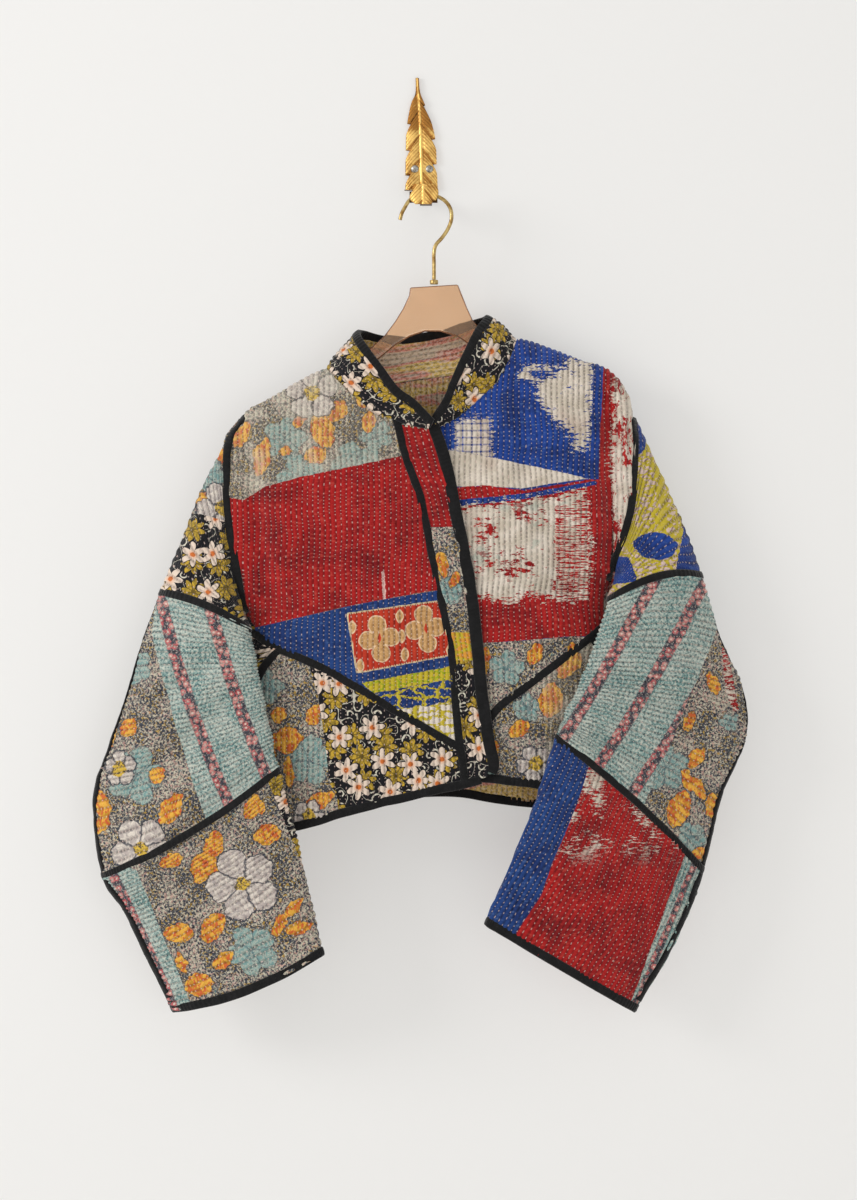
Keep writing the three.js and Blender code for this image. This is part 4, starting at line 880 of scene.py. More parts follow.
def dye(red, green, blue):
    """A colour given as it looks, from 0 to 255, as linear light."""
    def linear(level):
        level /= 255
        return level / 12.92 if level <= 0.04045 else ((level + 0.055) / 1.055) ** 2.4
    return (linear(red), linear(green), linear(blue), 1.0)


# ---- dyes ----
RED = dye(174, 26, 26)
DEEP_RED = dye(126, 14, 20)
FADED_RED = dye(204, 86, 72)
BLUE = dye(32, 66, 128)
ROYAL_BLUE = dye(30, 68, 152)
DEEP_BLUE = dye(20, 38, 92)
CREAM = dye(230, 218, 203)
PALE = dye(214, 208, 190)
GROUND = dye(62, 66, 76)
INK = dye(20, 20, 25)
ORANGE = dye(224, 156, 60)
LIME = dye(200, 180, 50)
FLAME = dye(204, 66, 38)
PETAL_TAN = dye(214, 170, 116)


# ---- printed and worn cottons: each gives a colour at a place on the cloth ----
def red_cotton(paint, p):
    wear = paint.noise(p, 34, 4, 0.6)
    slub = paint.noise(p, 3.0, 2, 0.6, stretch=(0.35, 1.0))
    colour = paint.lay(RED, DEEP_RED, wear, 0.55, 0.3)
    colour = paint.lay(colour, FADED_RED, slub, 0.62, 0.14, share=0.38)
    nick = paint.noise(p, 5.5, 2, 0.5, stretch=(1.0, 0.7))
    return paint.lay(colour, dye(226, 170, 160), nick, 0.79, 0.02, share=0.8)


def blue_cotton(paint, p, shade=BLUE):
    wear = paint.noise(p, 26, 3, 0.6)
    slub = paint.noise(p, 2.6, 2, 0.6, stretch=(0.4, 1.0))
    colour = paint.lay(shade, DEEP_BLUE, wear, 0.52, 0.3, share=0.7)
    return paint.lay(colour, dye(92, 122, 172), slub, 0.64, 0.12, share=0.4)


def speckled_ground(paint, p):
    """Slate ground thick with pale, mustard and rose squiggles."""
    place = paint.warped(p, 2.4, 3.0)
    speck = paint.noise(place, 2.3, 3, 0.7)
    drift = paint.noise(p, 26, 3)
    colour = paint.lay(GROUND, dye(196, 188, 168), speck + drift * 0.3, 0.68, 0.05)
    small = paint.noise(paint.vector("ADD", place, (400.0, 90.0, 0.0)), 3.2, 3, 0.7)
    tint = paint.lay(dye(190, 152, 60), dye(200, 158, 146), drift, 0.5, 0.06)
    return paint.lay(colour, tint, small, 0.59, 0.05, share=0.8)


def leaf_colour(paint, p):
    vein = paint.noise(p, 3.0, 3, 0.7, stretch=(1.4, 0.5))
    blush = paint.noise(p, 9.0, 2, 0.6)
    colour = paint.lay(dye(232, 176, 70), dye(196, 142, 44), blush, 0.52, 0.1)
    return paint.lay(colour, dye(206, 98, 52), vein + blush * 0.5, 0.79, 0.1)


def cream_flower(paint, colour, place, radius, turn):
    """Lays a five-petalled cream flower with dark outlines over a colour."""
    mottle = paint.noise(place, 6.0, 3, 0.6)
    inside, reach, gap = paint.petals(place, radius, 5, 0.36, turn, 0.55)
    petal = paint.lay(dye(222, 212, 200), dye(186, 174, 168), mottle, 0.5, 0.2)
    crease = abs(paint.maths("WRAP", gap + mottle * 5.0, -1.7, 1.7))
    petal = paint.lay(petal, dye(150, 142, 142), 0.35 - crease, soft=0.3, share=0.6)
    petal = paint.mix(petal, GROUND, paint.step(1.0 - gap, 0.0, 0.5)
                      * paint.step(reach, 5.0, 2.0) * 0.85)
    colour = paint.lay(colour, GROUND, inside + 1.7, soft=0.6, share=0.9)
    colour = paint.lay(colour, petal, inside)
    heart = paint.lay(dye(214, 178, 70), dye(96, 84, 62), mottle, 0.55, 0.05)
    return paint.lay(colour, heart, 6.5 + mottle * 2.0 - reach, soft=1.0)


def mottled_floral(paint, p, flowers=None, leaves=(), pools=()):
    """Cream flowers, orange leaves and aqua pools on a speckled slate ground.

    flowers are (x, z, radius), leaves (x, z, length, width, degrees) and pools (x, z, radius),
    all in millimetres. Without flowers, they are scattered.
    """
    colour = speckled_ground(paint, p)
    p = paint.warped(p, 11.0, 9.0)
    mottle = paint.noise(p, 4.2, 3, 0.7)
    aqua = paint.lay(dye(122, 158, 156), dye(186, 194, 180), mottle, 0.5, 0.16)
    aqua = paint.lay(aqua, dye(76, 92, 102), mottle, 0.6, 0.06, share=0.8)

    def around(x, z):
        return paint.vector("SUBTRACT", p, (x, z, 0.0))

    place, shade = paint.cells(p, 74, 1, 0.7)
    pool_place, pool_shade = paint.cells(p, 46, 9, 0.9)
    pool, _, gap = paint.petals(pool_place, 18, 5, 0.4, pool_shade[0] * 6.28)
    leaf_place, leaf_shade = paint.cells(p, 23, 3, 0.9)
    leaf = paint.leaf(leaf_place, 12.0, 7.0, leaf_shade[0] * 6.28)
    leaf = leaf - paint.step(leaf_shade[1], 0.6, 0.02) * 9.0
    if flowers is not None:
        found = [paint.petals(around(x, z), radius * 1.1, 5, 0.4, x) for x, z, radius in pools]
        pool = paint.most([pool - 16.0] + [inside for inside, _, _ in found])
        gap = paint.least([each for _, _, each in found]) if found else gap
        leaf = paint.most([leaf - 9.0] + [
            paint.leaf(around(x, z), length * 1.3, width * 1.3, math.radians(turn))
            for x, z, length, width, turn in leaves])
    colour = paint.lay(colour, GROUND, pool + 1.2, soft=0.8, share=0.5)
    colour = paint.lay(colour, aqua, pool, soft=1.0, share=0.95)
    colour = paint.mix(colour, dye(76, 92, 102), paint.step(pool, 0.0, 1.0)
                       * paint.step(0.7 - gap, 0.0, 0.5) * 0.6)
    colour = paint.lay(colour, GROUND, leaf + 1.1, soft=0.6, share=0.6)
    colour = paint.lay(colour, leaf_colour(paint, p), leaf)
    if flowers is None:
        return cream_flower(paint, colour, place, 27.0, shade[0] * 6.28)
    for x, z, radius in flowers:
        colour = cream_flower(paint, colour, around(x, z), radius, 0.3 + x)
    return colour


def pale_floral(paint, p, **places):
    """The same print, a little washed out."""
    faded = paint.mix(mottled_floral(paint, p, **places), dye(206, 192, 164), 0.16)
    bleach = paint.noise(p, 26, 3)
    return paint.lay(faded, PALE, bleach, 0.58, 0.16, share=0.35)


def dark_floral(paint, p):
    """Mustard and peach flowers with fine white curls on black."""
    p = paint.warped(p, 16.0, 4.0)
    curl_place, curl_shade = paint.cells(p, 13.5, 7, 0.9)
    x, y, _ = paint.split(curl_place)
    ring = abs(paint.vector("LENGTH", curl_place, output=1) - (2.2 + curl_shade[1] * 2.6))
    opened = paint.step(paint.maths("SINE", paint.maths("ARCTAN2", y, x)
                                    + curl_shade[0] * 6.28), -0.3, 0.2)
    colour = paint.mix(INK, PALE, paint.step(0.7 - ring, 0.0, 0.25) * opened)
    thread = abs(paint.noise(p, 15.0, 0, 0.5) - 0.5)
    colour = paint.lay(colour, PALE, 0.012 - thread, soft=0.006, share=0.85)
    leaf_place, leaf_shade = paint.cells(p, 28, 5, 0.75)
    leaf, leaf_reach, gap = paint.petals(leaf_place, 12.5, 8, 0.42, leaf_shade[0] * 6.28, 1.3)
    mustard = paint.lay(dye(206, 168, 56), dye(150, 126, 48), paint.noise(p, 3.6, 3, 0.7), 0.5, 0.2)
    mustard = paint.lay(mustard, dye(84, 72, 34), 0.5 - gap, soft=0.4, share=0.7)
    colour = paint.lay(colour, INK, leaf + 1.4)
    colour = paint.lay(colour, mustard, leaf, soft=0.6)
    colour = paint.lay(colour, dye(104, 84, 30), 2.6 - leaf_reach, share=0.8)
    place, shade = paint.cells(p, 33, 2, 0.75)
    star, reach, _ = paint.petals(place, 12.5, 6, 0.6, shade[0] * 6.28, 1.2)
    colour = paint.lay(colour, INK, star + 1.6)
    peach = paint.lay(dye(230, 164, 120), dye(232, 212, 194), reach - 3.0, soft=5.0)
    colour = paint.lay(colour, peach, star)
    return paint.lay(colour, dye(208, 112, 52), 2.5 - reach)


def striped_aqua(paint, p, slope, spacing, start, width=12.0, bow=0.0):
    """Bands of rose flowers on slate over worn aqua. slope is the stripes' dx for each dz."""
    x, z, _ = paint.split(p)
    off = (x - z * slope) / math.hypot(1.0, slope) - start
    if bow:
        off = off + paint.maths("SINE", z * 0.02) * bow
    rough = paint.noise(p, 2.6, 3, 0.75) - 0.5
    band = abs(paint.maths("WRAP", off, -spacing / 2, spacing / 2))
    wash = paint.noise(p, 24, 3, 0.6)
    colour = paint.lay(dye(128, 162, 158), dye(178, 192, 184), wash, 0.5, 0.25)
    colour = paint.lay(colour, dye(208, 208, 194), rough, 0.06, 0.08, share=0.8)
    colour = paint.lay(colour, dye(66, 92, 96), -rough, 0.07, 0.06, share=0.75)
    bud_place, bud_shade = paint.cells(p, 7.2, 4, 0.7)
    bud = paint.vector("LENGTH", bud_place, output=1)
    rose = paint.mix(dye(188, 84, 88), dye(214, 146, 138), bud_shade[0])
    print_colour = paint.lay(rose, dye(62, 58, 70), bud + rough * 7.0, 2.9, 0.6)
    print_colour = paint.lay(print_colour, dye(224, 194, 180), 1.1 - bud, soft=0.4)
    print_colour = paint.lay(print_colour, dye(186, 182, 172), rough, 0.1, 0.05, share=0.7)
    inside = paint.step(width / 2 - band + rough * 4.0, 0.0, 0.8)
    return paint.mix(colour, print_colour, inside * 0.95)


def worn_cream(paint, p):
    stain = paint.noise(p, 18, 3, 0.6)
    colour = paint.lay(CREAM, dye(206, 194, 176), stain, 0.5, 0.3)
    return paint.lay(colour, dye(188, 166, 150), paint.noise(p, 42, 2), 0.62, 0.1, share=0.5)


def worn_through(paint, p, top, amount, size=5.0, stretch=(0.55, 1.6)):
    """A top cloth rubbed away along the stitches, so that cream shows through."""
    rub = paint.noise(p, size, 4, 0.72, stretch=stretch)
    patch = paint.noise(p, 26, 2)
    gone = paint.step(rub * 0.6 + patch * 0.4 + amount, 0.56, 0.03)
    return paint.mix(top, worn_cream(paint, p), gone)


def crackle(paint, p, ground, line, width, size=7.0):
    """Thin veins of one colour over another."""
    push = paint.grain(paint.vector("SCALE", p, scale=1 / 6), 3.0, output=1)
    warped = paint.vector("ADD", p, paint.vector("SCALE", push, scale=9.0))
    veins = paint.node("ShaderNodeTexVoronoi", {"voronoi_dimensions": "2D",
                                               "feature": "DISTANCE_TO_EDGE"},
                       {"Vector": paint.vector("MULTIPLY", warped, (0.4 / size, 1 / size, 1.0)),
                        "Scale": 1.0}, "Distance")
    return paint.lay(ground, line, width - veins, soft=0.04)


def flame_block(paint, p, centres, halves):
    """Big four-petalled tan flowers on orange-red, with small oval buds between them."""
    colour = paint.mix(FLAME, dye(178, 44, 30), paint.noise(p, 6.0, 3))
    p = paint.warped(p, 7.0, 2.4)
    place = paint.nearest(p, centres)
    arms = [paint.vector("LENGTH", paint.vector("SUBTRACT", place, (x, z, 0.0)), output=1)
            for x, z in ((10.6, 1.5), (-11.4, -2.0), (-2.5, 13.5), (1.5, -14.5), (0, 0))]
    flower = 8.4 - paint.least(arms)
    bud = paint.leaf(paint.nearest(p, halves), 5.6, 3.4, math.pi / 2)
    tan = paint.lay(PETAL_TAN, dye(194, 146, 92), paint.noise(p, 4.0, 3, 0.6), 0.5, 0.2)
    pale = dye(232, 198, 160)
    colour = paint.lay(colour, pale, bud + 0.8)
    colour = paint.lay(colour, tan, bud - 0.4)
    colour = paint.lay(colour, pale, flower + 1.0)
    colour = paint.lay(colour, tan, flower - 0.3)
    slit = paint.leaf(place, 5.0, 1.6, math.pi / 2)
    return paint.lay(colour, FLAME, slit)


def reverse_side(paint, p):
    """The back of the quilt: faded bands of sand, rose and cream."""
    drift = paint.noise(p, 30, 2, stretch=(0.35, 1.5))
    fleck = paint.noise(p, 2.8, 3, 0.7)
    colour = paint.lay(dye(234, 200, 112), dye(230, 146, 130), drift, 0.5, 0.05)
    colour = paint.lay(colour, dye(228, 204, 176), drift, 0.6, 0.05)
    colour = paint.lay(colour, CREAM, fleck, 0.54, 0.1, share=0.6)
    return paint.lay(colour, dye(122, 104, 78), -fleck, -0.42, 0.06, share=0.5)


def patched(paint, base, patches):
    """Lays patches over a base: each is a mark on the mesh, a colour and how ragged its edge is."""
    colour = base
    p = paint.kept["print"]
    for mark, fabric, ragged in patches:
        edge = paint.mark(mark)
        if ragged:
            edge = edge + (paint.noise(p, 4.4, 3, 0.7, stretch=(0.45, 1.7)) - 0.5) * ragged
        colour = paint.lay(colour, fabric, edge)
    return colour


# ---- finishing: stitches, puckers, weave, painted shade between the ribs ----
def quilted(name, colours, visible=0.66):
    """A material of quilted cotton, with painted shade between its ribs and in its stitch pits.
    colours(paint, p) gives the print at a place.
    """
    cloth = bpy.context.scene.jacket
    row_pitch, stitch_pitch = cloth.row_pitch / MM, cloth.stitch_pitch / MM
    paint = Paint(name)
    p, q = paint.flat("print"), paint.flat("stitch")
    paint.kept["print"] = p
    colour = colours(paint, p)
    u, v, _ = paint.split(q)
    row = paint.maths("ROUND", u / row_pitch)
    across = abs(u - row * row_pitch)
    jitter = paint.node("ShaderNodeTexWhiteNoise", {"noise_dimensions": "1D"}, {"W": row})
    wander = (paint.noise(q, 23, 1) - 0.5) * 3.0
    run = v / stitch_pitch + jitter + row * 0.5 + wander
    beat = abs(paint.maths("FRACT", run) - 0.5)
    dash = (paint.maths("MULTIPLY", 0.6 - across, 3.0, clamp=True)
            * paint.maths("MULTIPLY", 0.16 - beat, 16.0, clamp=True))
    pit = (paint.maths("MULTIPLY", 1.3 - across, 1.0, clamp=True)
           * paint.maths("MULTIPLY", beat - 0.12, 4.0, clamp=True))
    trough_shade = paint.maths("MULTIPLY", 1.7 - across, 0.6, clamp=True)
    shade = paint.noise(q, 15, 2) * 0.9 + 0.1
    # Painted shade: the hollows between the ribs and the stitch pits are darkened towards near black.
    colour = paint.mix(colour, dye(24, 18, 20), (trough_shade * 0.46 + pit * 0.3) * shade)
    colour = paint.mix(colour, (*cloth.thread, 1.0), dash * visible)
    crumple = paint.noise(q, 3.4, 3, 0.6, stretch=(0.8, 1.5))
    weave = paint.noise(q, 0.55, 1, 0.5)
    height = crumple * 0.9 + weave * 0.16 - pit * 0.5 + dash * 0.28
    return paint.finished({
        "Base Color": colour, "Roughness": 0.92, "Normal": paint.bump(1.0, 0.0014, height),
        "Sheen Weight": 0.18, "Sheen Roughness": 0.5, "Specular IOR Level": 0.2})


def binding_cotton():
    """Black cotton tape, a little dusty in patches, sewn down by fine stitches."""
    paint = Paint("binding_cotton")
    place = paint.vector("SCALE", paint.node("ShaderNodeTexCoord", output="Object"),
                         scale=1 / MM)
    dust = paint.grain(paint.vector("SCALE", place, scale=0.12), 3.0, dimensions="3D")
    weave = paint.grain(paint.vector("SCALE", place, scale=1.9), dimensions="3D")
    colour = paint.lay(dye(10, 10, 11), dye(25, 24, 26), dust, 0.55, 0.3, share=0.7)
    colour = paint.lay(colour, dye(36, 35, 37), weave, 0.62, 0.1, share=0.35)
    _, v, _ = paint.split(paint.flat("stitch"))
    gather = paint.maths("SINE", v * (2 * math.pi / 4.2)) * 0.3
    bump = paint.bump(0.6, 0.0008, weave * 0.6 + dust + gather)
    return paint.finished({
        "Base Color": colour, "Roughness": 0.88, "Normal": bump, "Sheen Weight": 0.25,
        "Sheen Roughness": 0.45, "Specular IOR Level": 0.25})


# ---- hard finishes ----
def object_noise(paint, size, detail=2.0, rough=0.5, stretch=(1.0, 1.0, 1.0)):
    place = paint.vector("MULTIPLY", paint.node("ShaderNodeTexCoord", output="Object"),
                         tuple(s / (size * MM) for s in stretch))
    return paint.grain(place, detail, rough, "3D")


def acrylic(name, light, dark, clearness):
    """Clear tinted acrylic, faintly scratched."""
    paint = Paint(name)
    scratch = object_noise(paint, 1.2, 3, 0.6, (1.0, 1.0, 0.08))
    tint = paint.mix(light, dark, object_noise(paint, 60))
    return paint.finished({
        "Base Color": tint, "Roughness": scratch * 0.06 + 0.05, "IOR": 1.49,
        "Normal": paint.bump(0.05, 0.0002, scratch), "Transmission Weight": clearness})


def metal(name, light, dark, size, rough, bump_height):
    """A worn metal, in random patches: polished and light in some, darker and rougher in others."""
    paint = Paint(name)
    patina = object_noise(paint, size, 4, 0.65)
    grain = object_noise(paint, size / 6, 3, 0.6)
    colour = paint.lay(light, dark, patina, 0.52, 0.22)
    return paint.finished({
        "Base Color": colour, "Metallic": 1.0, "Roughness": patina * 0.35 + rough,
        "Normal": paint.bump(0.4, 0.0006, (grain + patina) * bump_height)})


def wall_paint(name, colour):
    paint = Paint(name)
    tint = paint.mix(colour, tuple(0.97 * c for c in colour[:3]) + (1.0,),
                     object_noise(paint, 700, 2))
    return paint.finished({"Base Color": tint, "Roughness": 0.95, "Specular IOR Level": 0.1})


# ---- patches: outlines on the cloth, seen from the front, in millimetres ----
PATCHES = {
    "right_front_panel": {
        "red_block": [(-200, -335), (-177, -338), (-157, -325), (-122, -316), (-82, -308),
            (-22, -295), (-5, -292), (40, -292), (40, -424), (15, -428), (-25, -435), (-77, -445),
            (-142, -460), (-200, -478)],
        "blue_block": [(-200, -473), (-142, -460), (-77, -445), (-25, -435), (60, -422), (60, -640),
            (-200, -640)],
        "lime_strip": [(-60, -520), (60, -498), (60, -511), (-48, -530)],
        "crackle_block": [(-48, -530), (60, -511), (60, -640), (-10, -600)],
        "cream_block": [(-25, -546), (60, -536), (60, -640), (-10, -640)],
        "red_scratch": [(-40, -409), (-37, -409), (-35.5, -440), (-38.5, -440)],
        "flame_block": [(-75, -451), (18, -438), (30, -493), (-65, -511)],
    },
    "placket_band": {
        "mottled_strip": [(-60, -367), (100, -364), (100, -800), (-60, -800)],
        "orange_strip": [(-60, -470), (100, -470), (100, -498), (-60, -498)],
        "dark_strip": [(-60, -498), (100, -498), (100, -800), (-60, -800)],
    },
    "right_front_lower_panel": {
        "dark_block": [(-120, -470), (-111, -506), (-104, -528), (-99, -558), (-95, -588),
            (-92, -618), (-84, -633), (-78, -700), (100, -700), (100, -470)],
    },
    "left_front_panel": {
        "white_check": [(32, -260), (68, -256), (70, -296), (34, -300)],
        "cream_wedge": [(148, -197), (172, -200), (169, -237), (167, -270), (164, -288), (153, -287),
            (150, -273), (137, -262), (125, -249), (115, -234), (115, -221), (134, -211),
            (145, -203)],
        "cream_dash": [(95, -212), (111, -212), (111, -218), (95, -218)],
        "thin_dash": [(103, -205), (136, -205), (136, -209), (103, -209)],
        "blue_column": [(172, -195), (182, -200), (177, -321), (164, -326), (168, -300)],
        "red_columns": [(182, -180), (230, -180), (230, -500), (176, -500), (176, -322)],
        "cream_column": [(194, -180), (230, -180), (230, -500), (190, -500), (188, -300)],
        "cream_band": [(20, -289), (38, -290), (66, -296), (100, -303), (138, -311), (166, -317),
            (138, -321), (100, -327), (60, -325), (20, -326)],
        "red_frame": [(20, -328), (60, -324), (102, -329), (138, -323), (167, -318), (190, -318),
            (190, -476), (150, -474), (90, -479), (0, -484)],
        "floral_foot": [(0, -484), (90, -479), (150, -474), (230, -478), (230, -700), (0, -700)],
        "blue_line": [(30, -339), (78, -335), (108, -331), (138, -326), (174, -319), (174, -323),
            (138, -331), (108, -337), (78, -341), (30, -346)],
        "worn_area": [(34, -348), (60, -345), (100, -340), (140, -334), (160, -330), (166, -345),
            (166, -420), (150, -436), (110, -432), (90, -440), (62, -436), (40, -430)],
        "striped_area": [(132, -345), (164, -338), (166, -438), (134, -440)],
    },
    "left_front_lower_panel": {
        "pale_block": [(118, -480), (240, -420), (240, -700), (128, -700)],
    },
    "back_panel": {
        "red_block": [(-230, -300), (30, -270), (50, -420), (-230, -440)],
        "blue_block": [(30, -150), (240, -150), (240, -330), (44, -330)],
        "aqua_block": [(50, -330), (240, -330), (240, -560), (62, -560)],
        "dark_block": [(-230, -540), (64, -560), (70, -720), (-230, -720)],
    },
    "right_sleeve_cap": {
        "dark_block": [(-300, -356), (-262, -350), (-222, -352), (-150, -372), (-150, -520),
            (-300, -520)],
    },
    "right_sleeve_middle": {
        "aqua_block": [(-262, -400), (-120, -400), (-120, -660), (-212, -660), (-245, -560),
            (-270, -470)],
    },
    "right_sleeve_lower": {
        "edge_stripe": [(-340, -690), (-283, -706), (-262, -760), (-222, -860), (-340, -860)],
        "dark_strip": [(-158, -600), (-122, -590), (-92, -740), (-108, -722), (-122, -690),
            (-138, -650)],
    },
    "left_sleeve_cap": {
        "blue_disc": [(208, -382), (216, -374), (232, -370), (246, -374), (256, -383), (250, -394),
            (236, -399), (218, -395)],
        "blue_corner": [(262, -365), (300, -365), (300, -440), (252, -412)],
        "blue_top": [(200, -250), (232, -250), (222, -288), (208, -300), (200, -290)],
        "blue_foot": [(180, -392), (206, -396), (214, -420), (180, -424)],
    },
    "left_sleeve_middle": {
        "aqua_block": [(330, -380), (300, -455), (272, -520), (238, -600), (196, -690), (100, -690),
            (100, -380)],
        "red_patch": [(300, -484), (305, -492), (316, -548), (311, -550), (303, -530), (300, -510)],
    },
    "left_sleeve_lower": {
        "red_block": [(168, -590), (330, -660), (330, -900), (70, -900), (93, -766), (118, -728),
            (128, -698), (141, -668), (153, -638)],
        "edge_strip": [(262, -690), (340, -690), (340, -870), (196, -870), (212, -828)],
    },
}
FLAME_FLOWERS = [(-42, -476), (4, -466)]
FLAME_BUDS = [(-69, -465), (-61, -503), (-22, -454), (-17, -492), (-20, -474), (28, -488)]


def colours_right_front(paint, p):
    colour = pale_floral(paint, p, flowers=[(-110, -231, 27)], leaves=[
        (-99, -269, 15, 9, 110), (-84, -250, 10, 7, 60), (-53, -261, 8, 6, 80),
        (-106, -294, 9, 7, 20), (-136, -290, 5, 4, 0), (-160, -296, 16, 7, 75),
        (-180, -273, 11, 6, 60), (-122, -259, 6, 4, 40), (-60, -240, 6, 4, 110)],
        pools=[(-137, -277, 20), (-66, -306, 24), (-46, -274, 15), (-120, -318, 22)])
    red = red_cotton(paint, p)
    blue = blue_cotton(paint, p)
    lime = crackle(paint, p, LIME, dye(150, 170, 30), 0.06)
    veined = crackle(paint, p, blue, LIME, 0.1, 9.0)
    cream = crackle(paint, p, CREAM, LIME, 0.12, 8.0)
    flame = flame_block(paint, p, FLAME_FLOWERS, FLAME_BUDS)
    x, _, _ = paint.split(p)
    teeth = paint.mark("flame_block") + paint.maths("SINE", x * 2.6) * 0.6
    flame = paint.lay(dye(216, 196, 158), flame, teeth, 1.3, 0.6)
    return patched(paint, colour, [
        ("red_block", red, 2.5), ("red_scratch", dye(232, 190, 180), 3.0),
        ("blue_block", blue, 1.5), ("crackle_block", veined, 2.0), ("lime_strip", lime, 3.0),
        ("cream_block", cream, 9.0), ("flame_block", flame, 1.6)])


def colours_placket(paint, p):
    return patched(paint, red_cotton(paint, p), [
        ("mottled_strip", mottled_floral(paint, p, flowers=[], leaves=[
            (20, -403, 10, 5, 100), (33, -418, 6, 4, 60)], pools=[(26, -430, 13)]), 1.5),
        ("orange_strip", crackle(paint, p, ORANGE, LIME, 0.1), 2.0),
        ("dark_strip", dark_floral(paint, p), 1.0)])


def colours_right_lower(paint, p):
    print_places = dict(flowers=[(-112, -652, 16)], leaves=[
        (-134, -577, 13, 10, 20), (-142, -552, 6, 6, 0), (-108, -552, 8, 6, 70),
        (-132, -608, 12, 5, 95), (-101, -636, 13, 6, 20), (-152, -596, 8, 5, 60),
        (-168, -640, 9, 6, 110)], pools=[(-112, -597, 23), (-156, -525, 16)])
    return patched(paint, mottled_floral(paint, p, **print_places),
                   [("dark_block", dark_floral(paint, p), 0.8)])


def colours_left_front(paint, p):
    x, z, _ = paint.split(p)
    blue = blue_cotton(paint, p, ROYAL_BLUE)
    red = red_cotton(paint, p)
    cream = worn_cream(paint, p)
    check = (paint.step(abs(paint.maths("WRAP", x, -4.5, 4.5)), 3.6, 0.5)
             + paint.step(abs(paint.maths("WRAP", z, -3.5, 3.5)), 2.6, 0.5))
    checked = paint.mix(cream, blue, check * 0.55)
    stripes = paint.step(paint.noise(p, 5.0, 3, 0.7, stretch=(0.32, 3.0)), 0.5, 0.06)
    worn = paint.lay(worn_through(paint, p, red, 0.13, 7.0), dye(150, 172, 160), paint.noise(p, 24,
        2), 0.68, 0.05, share=0.4)
    veins = worn_through(paint, p, red, 0.11, 6.0, (1.2, 0.55))
    return patched(paint, blue, [
        ("white_check", checked, 26.0), ("cream_wedge", worn_through(paint, p, blue, 0.2), 40.0),
        ("cream_dash", cream, 14.0), ("thin_dash", cream, 22.0),
        ("cream_band", cream, 2.0), ("blue_column", blue, 3.0),
        ("red_columns", red, 1.0), ("cream_column", veins, 26.0), ("red_frame", red, 3.0),
        ("floral_foot", mottled_floral(paint, p, flowers=[], leaves=[
            (60, -500, 12, 6, 80), (112, -492, 9, 6, 60), (150, -490, 9, 5, 100)],
            pools=[(84, -506, 16)]), 1.5),
        ("blue_line", blue, 2.0), ("worn_area", worn, 40.0),
        ("striped_area", paint.mix(red, cream, stripes), 5.0)])


def colours_left_lower(paint, p):
    print_places = dict(flowers=[(112, -600, 18)], leaves=[
        (146, -502, 13, 8, 45), (128, -537, 14, 9, 80), (160, -560, 10, 6, 60),
        (96, -566, 9, 6, 30), (70, -586, 8, 5, 70), (170, -600, 10, 6, 100)],
        pools=[(104, -545, 13), (150, -590, 17), (60, -610, 12)])
    return patched(paint, mottled_floral(paint, p, **print_places),
                   [("pale_block", pale_floral(paint, p, **print_places), 3.0)])


def colours_back(paint, p):
    aqua = striped_aqua(paint, p, 0.2, 42, 4)
    return patched(paint, mottled_floral(paint, p), [
        ("red_block", red_cotton(paint, p), 2.0),
        ("blue_block", worn_through(paint, p, blue_cotton(paint, p), 0.02, 4.0), 2.0),
        ("aqua_block", aqua, 1.0), ("dark_block", dark_floral(paint, p), 1.0)])


def colours_right_cap(paint, p):
    return patched(paint, mottled_floral(paint, p), [("dark_block", dark_floral(paint, p), 1.0)])


def colours_right_middle(paint, p):
    aqua = striped_aqua(paint, p, -0.36, 46, -396, bow=3.0)
    floral = mottled_floral(paint, p, flowers=[(-301, -606, 17), (-279, -685, 31)], leaves=[
        (-292, -565, 8, 7, 40), (-262, -612, 8, 6, 60), (-248, -645, 14, 8, 55),
        (-320, -642, 12, 7, 110), (-312, -577, 13, 4, 70), (-318, -660, 9, 5, 60)],
        pools=[(-284, -612, 27), (-286, -505, 16)])
    return patched(paint, floral, [("aqua_block", aqua, 1.0)])


def colours_right_lower_sleeve(paint, p):
    floral = mottled_floral(paint, p, flowers=[(-177, -718, 36)], leaves=[
        (-215, -702, 13, 11, 60), (-205, -680, 12, 7, 75), (-248, -697, 10, 6, 20),
        (-207, -762, 13, 9, 50), (-242, -769, 12, 8, 0), (-152, -669, 11, 8, 10),
        (-167, -642, 10, 6, 60), (-126, -741, 9, 5, 50), (-140, -758, 9, 5, 60),
        (-121, -761, 11, 5, 15), (-197, -795, 10, 6, 45), (-221, -820, 12, 9, 10),
        (-239, -799, 9, 4, 110), (-160, -640, 6, 4, 100)], pools=[(-168, -784, 24)])
    edge = striped_aqua(paint, p, -0.45, 30, -572, 11)
    return patched(paint, floral, [("edge_stripe", edge, 1.0),
                                   ("dark_strip", dark_floral(paint, p), 1.0)])


def colours_left_cap(paint, p):
    x, z, _ = paint.split(paint.warped(p, 18.0, 6.0))
    pleat = abs(paint.maths("WRAP", x * 0.82 - z * 0.57, -3.4, 3.4))
    pale = paint.lay(dye(222, 196, 184), dye(126, 92, 76), 0.7 - pleat, soft=0.7, share=0.8)
    limed = paint.lay(crackle(paint, p, pale, LIME, 0.16, 5.0), LIME, paint.noise(p, 13, 3, 0.7,
        stretch=(0.9, 0.5)), 0.54, 0.06, share=0.9)
    blue = blue_cotton(paint, p, ROYAL_BLUE)
    return patched(paint, limed, [(mark, blue, 3.0) for mark in
                                  ("blue_disc", "blue_corner", "blue_top", "blue_foot")])


